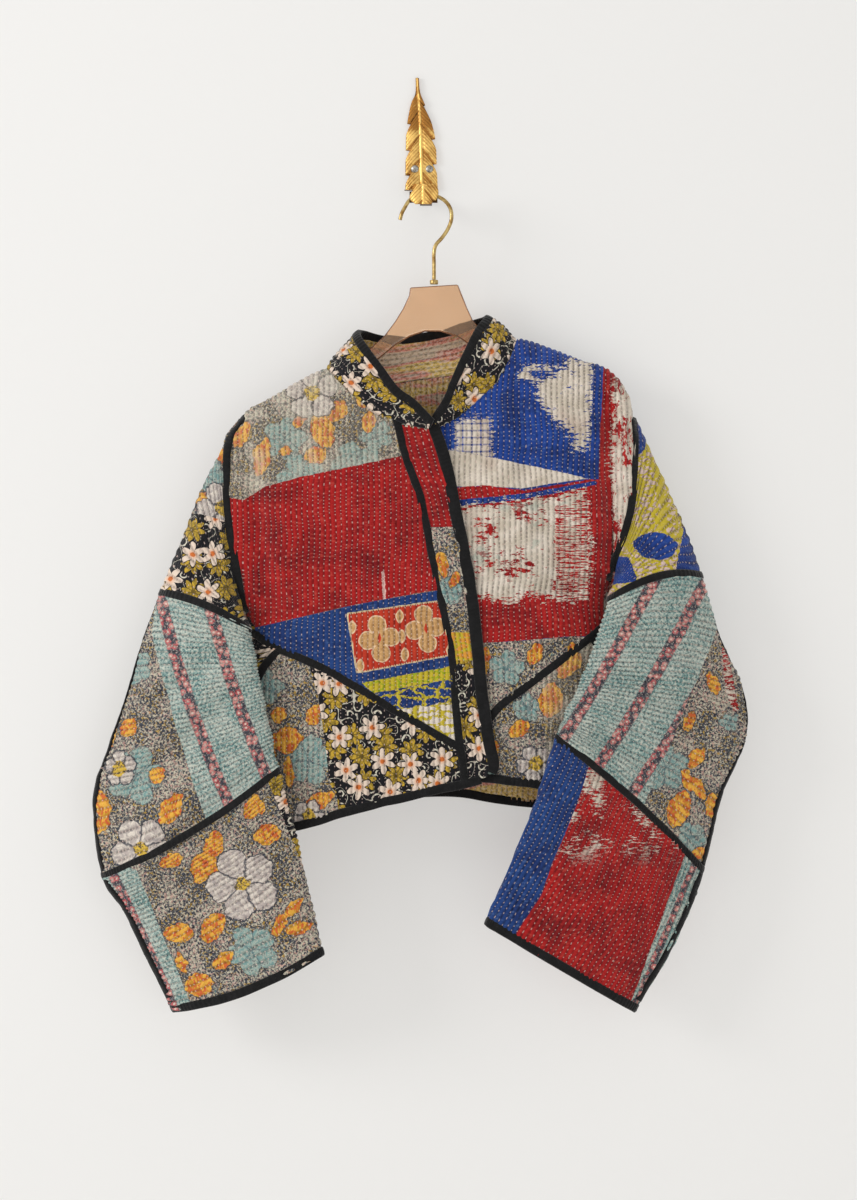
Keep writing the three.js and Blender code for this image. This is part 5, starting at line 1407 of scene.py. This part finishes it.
def colours_left_middle(paint, p):
    aqua = striped_aqua(paint, p, 0.63, 45, 376, bow=-3.0)
    floral = mottled_floral(paint, p, flowers=[], leaves=[
        (265, -559, 8, 5, 60), (290, -521, 9, 5, 110), (272, -596, 9, 6, 60),
        (264, -617, 9, 5, 110), (276, -625, 9, 5, 115), (255, -646, 15, 9, 70),
        (215, -630, 7, 5, 0), (290, -644, 11, 6, 100), (277, -690, 7, 5, 20)],
        pools=[(241, -604, 22), (268, -674, 14), (306, -560, 9)])
    return patched(paint, floral, [
        ("aqua_block", aqua, 1.0), ("red_patch", worn_through(paint, p, red_cotton(paint, p),
                                                              0.02), 2.0)])


def colours_left_lower_sleeve(paint, p):
    red = worn_through(paint, p, red_cotton(paint, p), -0.01, 4.5, (0.4, 2.0))
    plain = red_cotton(paint, p)
    _, z, _ = paint.split(p)
    high = paint.step(z, -690.0, 24.0)
    return patched(paint, blue_cotton(paint, p), [
        ("red_block", paint.mix(plain, red, high), 1.5),
        ("edge_strip", striped_aqua(paint, p, 0.42, 22, 500, 7), 1.0)])


# ---- putting the pieces on the frame ----
FINISHES = {}


def finish_of(name, make):
    """A finish is made once and shared."""
    if name not in FINISHES:
        FINISHES[name] = make()
    return FINISHES[name]


def placed(piece, node, slot, *materials):
    for material in materials:
        piece.data.materials.append(material)
    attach(piece, "root")
    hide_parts(node)
    return piece


def panel(node, outline, side, seed, slot, colours, creases=None):
    """A panel of the body with its print."""
    piece = body_panel(node + "_cloth", outline, side, seed, PATCHES[node], creases)
    dressed(piece, node, slot, colours)


def dressed(piece, node, slot, colours):
    """Gives a panel its print outside and the quilt's faded back inside."""
    outside = quilted(node + "_print", colours)
    inside = finish_of("reverse", lambda: quilted("quilt_reverse", reverse_side))
    return placed(piece, node, slot, outside, inside)


def bound(node, surface, length, half_width, seed, away=None, ring=False):
    piece = tape(node + "_tape", surface, length, half_width, seed, away, ring)
    return placed(piece, node, "black_binding", finish_of("binding", binding_cotton))


def neck_line(side):
    rows = COLLAR["side"] == side
    return np.stack([COLLAR["seamX"][rows], COLLAR["seamZ"][rows]], -1)


def make_right_front():
    neck = neck_line(0)
    outline = np.vstack([
        along(RIGHT_ARMHOLE, "z", -257, -450, dx=TUCK), along(RIGHT_DIAGONAL, "x", -178, 38, dz=TUCK),
        along(PLACKET_SEAM, "z", -586, -257, dx=-TUCK), neck[neck[:, 0] < -26],
        along(RIDGE, "x", -97, -179)])
    panel("right_front_panel", outline, "front", 11, "red_patchwork", colours_right_front)


def make_right_front_lower():
    outline = np.vstack([
        along(RIGHT_DIAGONAL, "x", -140, 42, dz=-TUCK),
        along(PLACKET_SEAM, "z", -590, -621, dx=-TUCK),
        along(RIGHT_FRONT_HEM, "x", 42, -185, dz=TUCK),
        along(RIGHT_FRONT_SIDE_SEAM, "z", -675, -482, dx=TUCK)])
    panel("right_front_lower_panel", outline, "front", 23, "dark_floral_quilt",
          colours_right_lower)


def make_placket():
    piece = band_panel(
        "placket_band_cloth", lambda z: smooth(PLACKET_SEAM, "z", "x", z) + TUCK,
        lambda z: smooth(FRONT_EDGE, "z", "x", z) - 3.0, -264, -618, "front", 37,
        PATCHES["placket_band"], RIGHT_FRONT_HEM)
    dressed(piece, "placket_band", "red_patchwork", colours_placket)


def make_left_front():
    outline = np.vstack([
        along(UNDER_EDGE, "z", -266, -584, dx=TUCK), along(LEFT_DIAGONAL, "x", 38, 190, dz=TUCK),
        along(LEFT_SIDE, "z", -455, -430), along(LEFT_ARMHOLE, "z", -417, -260, dx=-TUCK),
        along(RIDGE, "x", 211, 96), neck_line(2)])
    panel("left_front_panel", outline, "underlap", 41, "worn_red_quilt", colours_left_front)


def make_left_front_lower():
    outline = np.vstack([
        along(LEFT_DIAGONAL, "x", 170, 38, dz=-TUCK), along(UNDER_EDGE, "z", -588, -611, dx=TUCK),
        along(LEFT_FRONT_HEM, "x", 39, 197, dz=TUCK),
        along(LEFT_FRONT_SIDE_SEAM, "z", -640, -470, dx=-TUCK)])
    panel("left_front_lower_panel", outline, "underlap", 53, "mottled_floral_quilt",
          colours_left_lower)


def make_back():
    neck = neck_line(1)
    outline = np.vstack([
        along(RIGHT_ARMHOLE, "z", -262, -448, dx=TUCK),
        along(RIGHT_BACK_SIDE_SEAM, "z", -442, -684, dx=TUCK),
        along(BACK_HEM, "x", -185, 198, dz=TUCK),
        along(LEFT_BACK_SIDE_SEAM, "z", -640, -412, dx=-TUCK),
        along(LEFT_ARMHOLE, "z", -414, -262, dx=-TUCK),
        along(RIDGE, "x", 211, 96, dz=-SHOULDER_SEAM_DROP), neck[::-1],
        along(RIDGE, "x", -97, -180, dz=-SHOULDER_SEAM_DROP)])
    panel("back_panel", outline, "back", 67, "mottled_floral_quilt", colours_back, BACK_FOLDS)


def make_sides():
    for sign, name, slot, seams, border, diagonal, back_top, side in (
            (1, "right", "dark_floral_quilt", (RIGHT_FRONT_SIDE_SEAM, RIGHT_BACK_SIDE_SEAM),
             RIGHT_BORDER, RIGHT_DIAGONAL, -442, "front"),
            (-1, "left", "mottled_floral_quilt", (LEFT_FRONT_SIDE_SEAM, LEFT_BACK_SIDE_SEAM),
             LEFT_BORDER, LEFT_DIAGONAL, -411, "underlap")):
        piece = side_panel(name + "_side_panel_cloth", sign, seams[0], border, seams[1], diagonal,
                           back_top, BACK_HEM, side, 71 + sign)
        dressed(piece, name + "_side_panel", slot,
                dark_floral if sign > 0 else mottled_floral)


def collar_height(share):
    """The collar's height at a share of its length, and half its binding's width there."""
    height = np.linalg.norm(collar_points(share, 1.0) - collar_points(share, 0.0), axis=-1)
    return height, np.minimum(EDGE_BINDING_WIDTH / 2, 0.35 * height)


def make_collar():
    share = np.linspace(0.004, 0.996, 380)[None, :]
    height, half = collar_height(share)
    rise = np.linspace(0, 1, 30)[:, None] * (1 - 1.3 * half / height) - 0.02
    points = collar_points(np.broadcast_to(share, rise.shape), rise)
    run = share * 460.0 + rise * 0
    up = rise * height
    row = stitch_rows(up, run, 83)
    maps = {"print": (run, up), "stitch": (row, run)}
    piece = cloth_shell("stand_collar_cloth", points, maps, points - points.mean(axis=(0, 1)),
                        lift=rib_lift(row, run, 83))
    dressed(piece, "stand_collar", "dark_floral_quilt", dark_floral)

    def edge(at, offset):
        at = np.broadcast_to(at, np.broadcast(at, offset).shape)
        height, half = collar_height(at)
        return collar_points(at, (height - half + offset * half / (EDGE_BINDING_WIDTH / 2))
                             / height)
    bound("collar_edge_binding", edge, 430.0, EDGE_BINDING_WIDTH / 2, 89)


SLEEVE_PIECES = (
    (RIGHT_SLEEVE, (("cap", 0, 3, colours_right_cap, "dark_floral_quilt", False),
                    ("middle", 3, 8, colours_right_middle, "striped_aqua_quilt", False),
                    ("lower", 8, 11, colours_right_lower_sleeve, "mottled_floral_quilt", False))),
    (LEFT_SLEEVE, (("cap", 0, 3, colours_left_cap, "blue_dotted_quilt", False),
                   ("middle", 3, 8, colours_left_middle, "striped_aqua_quilt", False),
                   ("lower", 8, 11, colours_left_lower_sleeve, "red_patchwork", True))))


def middle_length(surface):
    """The length of a binding's middle line."""
    line = surface(np.linspace(0, 1, 100), np.zeros(100))
    return np.linalg.norm(np.diff(line, axis=0), axis=1).sum()


def ring_tape(node, sleeve, ring, shift, half_width, seed):
    """A binding round a sleeve, its middle line `shift` millimetres past a ring."""
    def surface(share, offset):
        v = 2 * math.pi * share
        ends = [sleeve_points(sleeve, ring + step, v) for step in (-0.05, 0.05)]
        per_millimetre = 0.1 / np.linalg.norm(ends[1] - ends[0], axis=-1)
        return sleeve_points(sleeve, ring + (shift + offset) * per_millimetre, v)
    bound(node, surface, middle_length(surface), half_width, seed, ring=True)


def seam_tape(node, sleeve, start, end, seed):
    """A binding along a sleeve's outer seam."""
    def surface(share, offset):
        at = mix(start, end, share)
        v = ring_value(sleeve, "seam", at)
        ends = [sleeve_points(sleeve, at, v + step) for step in (-0.02, 0.02)]
        per_millimetre = 0.04 / np.linalg.norm(ends[1] - ends[0], axis=-1)
        return sleeve_points(sleeve, at, v + offset * per_millimetre)
    bound(node, surface, middle_length(surface), BINDING_WIDTH / 2, seed,
          away=(sleeve["outward"], 0, 0.2))


def make_sleeves():
    for count, (sleeve, tiers) in enumerate(SLEEVE_PIECES):
        name, seed = sleeve["name"], 101 + 50 * count
        for place, (tier, start, end, colours, slot, rows_along) in enumerate(tiers):
            node = f"{name}_sleeve_{tier}"
            first = start + (RING_TUCK if start else 0.0)
            piece = sleeve_tier(node + "_cloth", sleeve, first, end - RING_TUCK, seed + 7 * place,
                                PATCHES[node], rows_along, SLEEVE_FOLDS[name])
            dressed(piece, node, slot, colours)
        half = BINDING_WIDTH / 2
        ring_tape(name + "_cap_seam_binding", sleeve, CAP_END, 0.0, half, seed + 30)
        ring_tape(name + "_elbow_seam_binding", sleeve, MIDDLE_END, 0.0, half, seed + 31)
        ring_tape(name + "_cuff_binding", sleeve, CUFF, -EDGE_BINDING_WIDTH / 2,
                  EDGE_BINDING_WIDTH / 2, seed + 32)
        seam_tape(name + "_outer_seam_binding_middle", sleeve, CAP_END + 0.07, MIDDLE_END - 0.07,
                  seed + 33)
        seam_tape(name + "_outer_seam_binding_lower", sleeve, MIDDLE_END + 0.07, CUFF - 0.2,
                  seed + 34)


def armhole_surface(armhole):
    """Down the front of an armhole and up its back."""
    high, low = float(armhole["z"][0]) + 2.0, float(armhole["z"][-1]) - 2.0

    def surface(share, offset):
        v = 2 * math.pi * share + offset * 0
        z = mix(high, low, (1 - np.cos(v)) / 2)
        x = smooth(armhole, "z", "x", z)
        slope = smooth(armhole, "z", "x", z - 3) - smooth(armhole, "z", "x", z + 3)
        size = np.hypot(slope, 6.0)
        px, pz = x + 6.0 / size * offset, z + slope / size * offset
        pz = np.minimum(pz, ridge(px) - 0.05)
        fade = np.minimum(1, np.abs(np.sin(v)) * 5)
        front, back = (body_points(px, pz, side) for side in ("front", "back"))
        found = np.where(np.sin(v)[..., None] >= 0, front, back)
        found[..., 1] = HANG_PLANE + (found[..., 1] - HANG_PLANE) * fade
        return found
    return surface


def make_bindings():
    half = BINDING_WIDTH / 2
    edge = EDGE_BINDING_WIDTH / 2
    shoulder = -SHOULDER_SEAM_DROP - half
    for seed, (seam, line, key, first, last, side, width, drop) in enumerate((
            ("front_edge", FRONT_EDGE, "z", -264, -609, "front", FRONT_BINDING_WIDTH / 2, 0),
            ("placket_seam", PLACKET_SEAM, "z", -257, -619, "front", half, 0),
            ("left_edge", UNDER_EDGE, "z", -264, -609, "underlap", half, 0),
            ("right_diagonal", RIGHT_DIAGONAL, "x", -181, 37, "front", half, 0),
            ("left_diagonal", LEFT_DIAGONAL, "x", 40, 193, "underlap", half, 0),
            ("right_front_side", RIGHT_FRONT_SIDE_SEAM, "z", -488, -668, "front", half, 0),
            ("left_front_side", LEFT_FRONT_SIDE_SEAM, "z", -475, -634, "underlap", half, 0),
            ("right_back_side", RIGHT_BACK_SIDE_SEAM, "z", -452, -668, "back", half, 0),
            ("left_back_side", LEFT_BACK_SIDE_SEAM, "z", -420, -634, "back", half, 0),
            ("right_front_hem", RIGHT_FRONT_HEM, "x", -183, 58, "front", edge, 0),
            ("left_front_hem", LEFT_FRONT_HEM, "x", 38, 195, "underlap", edge, 0),
            ("right_shoulder", RIDGE, "x", -174, -99, "back", half, shoulder),
            ("left_shoulder", RIDGE, "x", 98, 206, "back", half, shoulder)), 201):
        surface, length = path_surface(along(line, key, first, last, dz=drop), side)
        bound(seam + "_binding", surface, length, width, seed, away=facing(side))
    for name, armhole, seed in (("right", RIGHT_ARMHOLE, 221), ("left", LEFT_ARMHOLE, 222)):
        bound(name + "_armhole_binding", armhole_surface(armhole), 470.0, half, seed, ring=True)
    make_back_hem()


ROUND_SIDE = 0.08  # the share of the back hem's binding that goes round each side


def make_back_hem():
    """The back's hem binding runs on round both sides to the fronts' side seams."""
    half = EDGE_BINDING_WIDTH / 2
    right_seam, left_seam, right_fold, left_fold = (
        float(smooth(line, "z", "x", z)) for line, z in (
            (RIGHT_FRONT_SIDE_SEAM, -676.0), (LEFT_FRONT_SIDE_SEAM, -641.0),
            (RIGHT_BORDER, -678.0), (LEFT_BORDER, -642.0)))

    def surface(share, offset):
        run = share + offset * 0
        first, last = run < ROUND_SIDE, run > 1 - ROUND_SIDE
        turn = np.select([first, last], [1 - run / ROUND_SIDE, (run - 1) / ROUND_SIDE + 1], 0.0)
        across = np.clip((run - ROUND_SIDE) / (1 - 2 * ROUND_SIDE), 0, 1)
        # Close to a fold the steps are short, because the cloth turns there.
        x = mix(right_fold, left_fold, (1 - np.cos(across * np.pi)) / 2)
        x = np.where(first, mix(right_fold, right_seam, turn**2), x)
        x = np.where(last, mix(left_fold, left_seam, turn**2), x)
        z = smooth(BACK_HEM, "x", "z", x) + offset
        front = body_points(x, z, "front")
        back = body_points(x, z, "back")
        return np.where((turn > 0)[..., None], front, back)

    bound("back_hem_binding", surface, 480.0, half, 231)


# ---- the hanger and the wall hook ----
def chosen(piece):
    bpy.ops.object.select_all(action="DESELECT")
    piece.select_set(True)
    bpy.context.view_layer.objects.active = piece


FLAT_ANGLE = 4.0  # faces that turn less than this, in degrees, become one
ROUNDED_ANGLE = 34.0  # and edges that turn more than this are rounded


def refined_copy(node, name, bevel, segments=3):
    """A node's own shape with its doubles merged, its flats cleaned and its edges rounded."""
    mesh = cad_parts[node].data.copy()
    mesh.name = name
    mesh.materials.clear()
    piece = linked(name, mesh)
    chosen(piece)
    bpy.ops.object.mode_set(mode="EDIT")
    bpy.ops.mesh.select_all(action="SELECT")
    bpy.ops.mesh.remove_doubles(threshold=0.00001)
    bpy.ops.mesh.dissolve_limited(angle_limit=math.radians(FLAT_ANGLE))
    bpy.ops.mesh.normals_make_consistent(inside=False)
    bpy.ops.object.mode_set(mode="OBJECT")
    rounding = piece.modifiers.new("rounded_edges", "BEVEL")
    rounding.width = bevel
    rounding.segments = segments
    rounding.limit_method = "ANGLE"
    rounding.angle_limit = math.radians(ROUNDED_ANGLE)
    bpy.ops.object.modifier_apply(modifier=rounding.name)
    bpy.ops.object.shade_smooth_by_angle(angle=math.radians(32))
    return piece


EDGE_TURN = 0.9  # faces turned further from the front than this are the plate's edge


def make_hanger():
    plate = refined_copy("hanger_plate", "hanger_plate_acrylic", 0.0016, 4)
    placed(plate, "hanger_plate", "amber_acrylic",
           acrylic("amber_acrylic", dye(248, 208, 168), dye(238, 188, 144), 0.85),
           acrylic("amber_edge_shade", dye(150, 96, 62), dye(112, 66, 40), 0.4))
    # The edge faces take the darker, less clear copy of the acrylic: painted shade for the plate's
    # dark edges.
    for face in plate.data.polygons:
        face.material_index = int(abs(face.normal.y) < EDGE_TURN)
    gold = metal("gold_wire", dye(206, 180, 120), dye(146, 112, 62), 9, 0.14, 0.3)
    ferrule = refined_copy("hanger_ferrule", "hanger_ferrule_collar", 0.0006)
    placed(ferrule, "hanger_ferrule", "gold_wire", gold)
    curve = bpy.data.curves.new("hanger_hook_wire", "CURVE")
    curve.dimensions = "3D"
    spline = curve.splines.new("POLY")
    rows = table("x z", (12, -116.8), (12, -104), (12, -90), (14, -82), (20, -75), (26, -66),
                 (29.5, -56), (28.5, -46), (23, -38), (14, -33), (4, -31.5), (-6, -33),
                 (-13, -38), (-17.5, -45), (-20.5, -51), (-22, -57))
    at = {"at": np.arange(len(rows["x"])), **rows}
    run = np.linspace(0, len(rows["x"]) - 1, 121)
    spline.points.add(len(run) - 1)
    for point, x, z in zip(spline.points, smooth(at, "at", "x", run), smooth(at, "at", "z", run)):
        point.co = (x * MM, HANG_PLANE * MM, z * MM, 1.0)
    curve.bevel_depth = bpy.context.scene.hanger.wire_radius
    curve.bevel_resolution = 6
    curve.use_fill_caps = True
    chosen(linked("hanger_hook_wire", curve))
    bpy.ops.object.convert(target="MESH")
    wire = bpy.context.view_layer.objects.active
    bpy.ops.object.shade_smooth_by_angle(angle=math.radians(50))
    placed(wire, "hanger_hook", "gold_wire", gold)


# The leaf's halves are measured from its curved midrib.
LEAF = table(
    "z midrib right left",
    (-22, 0, -17, 16), (-2, -0.5, -16.5, 15.5), (24, -1, -15.5, 15), (40, -1.5, -14.5, 13),
    (56, -2.5, -11, 9), (68, -3.2, -7.5, 5), (76, -4, -3.2, 2.6), (84, -4.6, -1.8, 1.8),
    (93, -5, -1.7, 1.7))
LIP = table(
    "z midrib right left",
    (-42, 1.5, -8, 8), (-38, 1.5, -13, 12.5), (-31, 1.5, -15.5, 15), (-22, 1.5, -11, 13))
LOBE = 24.0  # length of one lobe of the leaf's edge
BARB = 3.9  # distance between its veins
# The hook's own shape is cut away in these half spaces: a point on the plane and its normal.
CUT_AWAY = (((0, -2.9, 0), (0, 1, 0)), ((0, 0, -21), (0, 0, 1)), ((0, -58, 0), (0, -1, 0)))


def leaf_relief(name, outline, z, back):
    """A leaf's face: overlapping lobes with slanting veins on both sides of a midrib."""
    z = z[:, None]
    share = np.linspace(-1, 1, 57)[None, :]
    side = np.where(share < 0, -smooth(outline, "z", "right", z),
                    smooth(outline, "z", "left", z))
    full = ease((80 - z) / 12)
    straight = np.abs(share) * side * np.sign(share)
    slant = z + 0.8 * np.abs(straight) + 0.02 * straight ** 2
    lobe = np.mod(np.where(share < 0, 36.0, 22.0) - slant, LOBE) / LOBE
    edge = 1 - 0.27 * full * np.clip(1 - lobe / 0.42, 0, 1) ** 1.5
    dx = share * side * edge
    x = smooth(outline, "z", "midrib", z) + dx
    out = np.abs(share)
    barbs = np.abs(np.sin(np.pi * slant / BARB)) ** 0.7 * full * np.minimum(1, out * 4)
    midrib = np.exp(-(dx / 1.3) ** 2)
    at_screw = np.exp(-((np.abs(x) - 7.5) ** 2 + z ** 2) / 5.0 ** 2)
    height = 0.9 * barbs + 1.5 * lobe * full * out + 1.2 * np.sin(np.pi * out) * full
    lift = 0.5 + height * (1 - at_screw) + 1.9 * midrib - 0.5 * ease((out - 0.86) / 0.14)
    points = np.stack([x, back(z) + 0 * x, z + 0 * x], -1)
    worn = ease((48 - z) / 16) * 0.42 + 0.22
    bright = (worn + 0.3 * barbs + 0.25 * lobe) * (0.4 + 0.6 * ease(lobe / 0.12)) + 0.7 * midrib
    return cloth_shell(name, points, {}, (0, -1, 0), wall=2.2, inner_lift=0 * x,
                       lift=lift, marks={"rubbed": bright + 0 * x})


def leaf_brass():
    """Old cast brass: bright where it is rubbed, brown in its hollows."""
    paint = Paint("aged_brass")
    patina = object_noise(paint, 11, 4, 0.65)
    grain = object_noise(paint, 1.6, 3, 0.6)
    rubbed = paint.mark("rubbed") + (patina - 0.5) * 1.1
    colour = paint.lay(dye(84, 56, 28), dye(172, 118, 54), rubbed, 0.35, 0.3)
    colour = paint.lay(colour, dye(250, 206, 120), rubbed, 0.95, 0.35)
    bump = paint.bump(0.4, 0.0006, grain * 0.5 + patina * 0.3)
    return paint.finished({"Base Color": colour, "Metallic": 0.85, "Normal": bump,
                           "Roughness": patina * 0.3 + 0.24})


def make_wall_hook():
    foot = refined_copy("wall_hook", "wall_hook_leaf", 0.0016, 4)
    bpy.ops.object.mode_set(mode="EDIT")
    for place, normal in CUT_AWAY:
        bpy.ops.mesh.select_all(action="SELECT")
        bpy.ops.mesh.bisect(plane_co=[MM * c for c in place], plane_no=normal, use_fill=True,
                            clear_outer=True)
    bpy.ops.object.mode_set(mode="OBJECT")
    face = leaf_relief("leaf_face", LEAF, np.linspace(-21.5, 92.5, 190), lambda z: -2.3)
    lip = leaf_relief("lip_face", LIP, np.linspace(-42, -22, 48),
                      lambda z: -59.5 - 2.6 * np.sin((z + 42) / 16))
    chosen(foot)
    face.select_set(True)
    lip.select_set(True)
    bpy.ops.object.join()
    foot.data.materials.clear()
    placed(foot, "wall_hook", "aged_brass", leaf_brass())
    for polygon in foot.data.polygons:
        polygon.material_index = 0
    steel = metal("screw_steel", dye(196, 194, 188), dye(120, 114, 106), 3, 0.22, 0.3)
    for side in ("right", "left"):
        head = refined_copy(f"wall_screw_{side}", f"wall_screw_{side}_head", 0.0003, 2)
        placed(head, f"wall_screw_{side}", "screw_steel", steel)


# ---- the stage ----
def seen_from_the_front(colour):
    """Wall paint whose back is clear, so that the wall doesn't hide the jacket's back."""
    paint = Paint("wall_paint")
    tint, deep = [tuple(share * c for c in colour[:3]) + (1.0,) for share in (0.57, 0.55)]
    solid = paint.node("ShaderNodeBsdfPrincipled", sockets={
        "Base Color": paint.mix(tint, deep, object_noise(paint, 700, 2)), "Roughness": 1.0,
        "Specular IOR Level": 0.0, "Emission Color": colour, "Emission Strength": 0.42})
    clear = paint.node("ShaderNodeBsdfTransparent")
    behind = paint.node("ShaderNodeNewGeometry", output="Backfacing")
    shader = paint.node("ShaderNodeMixShader", sockets={0: behind, 1: solid, 2: clear})
    return paint.shown(shader)


def backdrop(stage):
    bpy.ops.mesh.primitive_plane_add(size=7, location=(0, 0.0006, -0.4),
                                     rotation=(math.pi / 2, 0, 0))
    wall = bpy.context.active_object
    wall.name = "wall"
    bpy.ops.object.transform_apply(location=True, rotation=True, scale=True)
    wall.data.materials.append(seen_from_the_front((*stage.wall_colour, 1.0)))
    wall.visible_glossy = wall.visible_transmission = wall.visible_shadow = False
    return wall


def make_stage():
    scene = bpy.context.scene
    stage = scene.jacket_stage
    bpy.ops.object.select_all(action="DESELECT")
    bpy.ops.mesh.primitive_plane_add(size=12, location=(0, 0, stage.floor_height))
    floor = bpy.context.active_object
    floor.name = "floor"
    floor.data.materials.append(wall_paint("floor_paint", tuple(stage.wall_colour) + (1.0,)))
    world = bpy.data.worlds.new("studio")
    world.use_nodes = True
    background = world.node_tree.nodes["Background"]
    background.inputs["Color"].default_value = (*stage.wall_colour, 1.0)
    background.inputs["Strength"].default_value = stage.fill
    scene.world = world
    scene.view_settings.view_transform = "Standard"
    wall = backdrop(stage)
    for name, place, size, power in (
            ("soft_key", (-2.6, -1.75, 0.55), 1.3, stage.key_power),
            ("soft_fill", (0.7, -3.2, -1.1), 2.0, stage.key_power * 0.35)):
        light = bpy.data.lights.new(name, "AREA")
        light.shape, light.size, light.energy = "DISK", size, power
        lamp = linked(name, light)
        lamp.location = place
        aim = Vector((0, -0.05, -0.42)) - Vector(place)
        lamp.rotation_mode = "QUATERNION"
        lamp.rotation_quaternion = aim.to_track_quat("-Z", "Y")
    lens = bpy.data.cameras.new("studio_camera")
    lens.lens, lens.sensor_width = 105, 36
    camera = linked("studio_camera", lens)
    camera.location = (0.0065, -3.56, -0.438)
    camera.rotation_euler = (math.pi / 2, 0, 0)
    scene.camera = camera


# ---- the add-on ----
class JacketCloth(bpy.types.PropertyGroup):
    row_pitch: bpy.props.FloatProperty(
        name="Row pitch", description="Distance between rows of running stitch",
        default=0.0054, min=0.003, max=0.012, unit="LENGTH")
    stitch_pitch: bpy.props.FloatProperty(
        name="Stitch pitch", description="Distance from one stitch to the next in its row",
        default=0.0046, min=0.002, max=0.012, unit="LENGTH")
    rib_height: bpy.props.FloatProperty(
        name="Rib height", description="How far the quilt puffs up between its rows",
        default=0.0016, min=0.0, max=0.003, unit="LENGTH")
    thread: bpy.props.FloatVectorProperty(
        name="Thread", description="Colour of the quilting thread", subtype="COLOR", size=3,
        default=dye(236, 208, 198)[:3], min=0, max=1)


class JacketHanger(bpy.types.PropertyGroup):
    wire_radius: bpy.props.FloatProperty(
        name="Wire radius", description="Half the thickness of the hanger's hook",
        default=0.0019, min=0.001, max=0.004, unit="LENGTH")


class JacketStage(bpy.types.PropertyGroup):
    floor_height: bpy.props.FloatProperty(
        name="Floor height", description="Height of the floor below the wall hook",
        default=-1.3, unit="LENGTH")
    wall_colour: bpy.props.FloatVectorProperty(
        name="Wall colour", description="Colour of the floor and the surroundings",
        subtype="COLOR", size=3, default=(0.89, 0.882, 0.866), min=0, max=1)
    key_power: bpy.props.FloatProperty(
        name="Key light", description="Power of the soft main light", default=36.0,
        unit="POWER")
    fill: bpy.props.FloatProperty(
        name="Fill", description="Strength of the light from all round", default=0.8)


class JACKET_OT_fronts(bpy.types.Operator):
    """Make both fronts, their lower panels and the placket band"""
    bl_idname = "jacket.fronts"
    bl_label = "Fronts"

    def execute(self, context):
        make_right_front()
        make_right_front_lower()
        make_placket()
        make_left_front()
        make_left_front_lower()
        return {"FINISHED"}


class JACKET_OT_back(bpy.types.Operator):
    """Make the back and the two side panels"""
    bl_idname = "jacket.back"
    bl_label = "Back and sides"

    def execute(self, context):
        make_back()
        make_sides()
        return {"FINISHED"}


class JACKET_OT_collar(bpy.types.Operator):
    """Make the stand collar and its binding"""
    bl_idname = "jacket.collar"
    bl_label = "Stand collar"

    def execute(self, context):
        make_collar()
        return {"FINISHED"}


class JACKET_OT_sleeves(bpy.types.Operator):
    """Make the three tiers of each sleeve and their bindings"""
    bl_idname = "jacket.sleeves"
    bl_label = "Sleeves"

    def execute(self, context):
        make_sleeves()
        return {"FINISHED"}


class JACKET_OT_bindings(bpy.types.Operator):
    """Make the bindings of the body's seams and edges"""
    bl_idname = "jacket.bindings"
    bl_label = "Bindings"

    def execute(self, context):
        make_bindings()
        return {"FINISHED"}


class JACKET_OT_cut(bpy.types.Operator):
    """A step that does nothing: the panels' flat cut sizes are not stated"""
    bl_idname = "jacket.cut"
    bl_label = "Cut sizes"

    def execute(self, context):
        return {"FINISHED"}


class JACKET_OT_hanger(bpy.types.Operator):
    """Make the acrylic hanger, its ferrule and its wire hook"""
    bl_idname = "jacket.hanger"
    bl_label = "Hanger"

    def execute(self, context):
        make_hanger()
        return {"FINISHED"}


class JACKET_OT_wall_hook(bpy.types.Operator):
    """Make the leaf-shaped wall hook and its two screws"""
    bl_idname = "jacket.wall_hook"
    bl_label = "Wall hook"

    def execute(self, context):
        make_wall_hook()
        return {"FINISHED"}


class JACKET_OT_stage(bpy.types.Operator):
    """Make the floor, the lights and the camera"""
    bl_idname = "jacket.stage"
    bl_label = "Stage"

    def execute(self, context):
        make_stage()
        return {"FINISHED"}


OPERATORS = (JACKET_OT_stage, JACKET_OT_fronts, JACKET_OT_back, JACKET_OT_collar,
             JACKET_OT_sleeves, JACKET_OT_bindings, JACKET_OT_cut, JACKET_OT_hanger,
             JACKET_OT_wall_hook)


class JACKET_PT_sidebar(bpy.types.Panel):
    """The jacket's sizes, colours and pieces"""
    bl_label = "Quilted jacket"
    bl_space_type = "VIEW_3D"
    bl_region_type = "UI"
    bl_category = "Jacket"

    def draw(self, context):
        scene = context.scene
        for group, names in ((scene.jacket, ("row_pitch", "stitch_pitch", "rib_height", "thread")),
                             (scene.hanger, ("wire_radius",)),
                             (scene.jacket_stage, ("floor_height", "wall_colour", "key_power",
                                                   "fill"))):
            for name in names:
                self.layout.prop(group, name)
        for made in OPERATORS:
            self.layout.operator(made.bl_idname)


GROUPS = {"jacket": JacketCloth, "hanger": JacketHanger, "jacket_stage": JacketStage}


def register():
    for made in (*GROUPS.values(), *OPERATORS, JACKET_PT_sidebar):
        bpy.utils.register_class(made)
    for name, group in GROUPS.items():
        setattr(bpy.types.Scene, name, bpy.props.PointerProperty(type=group))


def unregister():
    for name in GROUPS:
        delattr(bpy.types.Scene, name)
    for made in (JACKET_PT_sidebar, *reversed(OPERATORS), *GROUPS.values()):
        bpy.utils.unregister_class(made)


def main():
    register()
    for made in OPERATORS:
        group, name = made.bl_idname.split(".")
        getattr(getattr(bpy.ops, group), name)()
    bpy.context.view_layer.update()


if __name__ == "__main__":
    main()
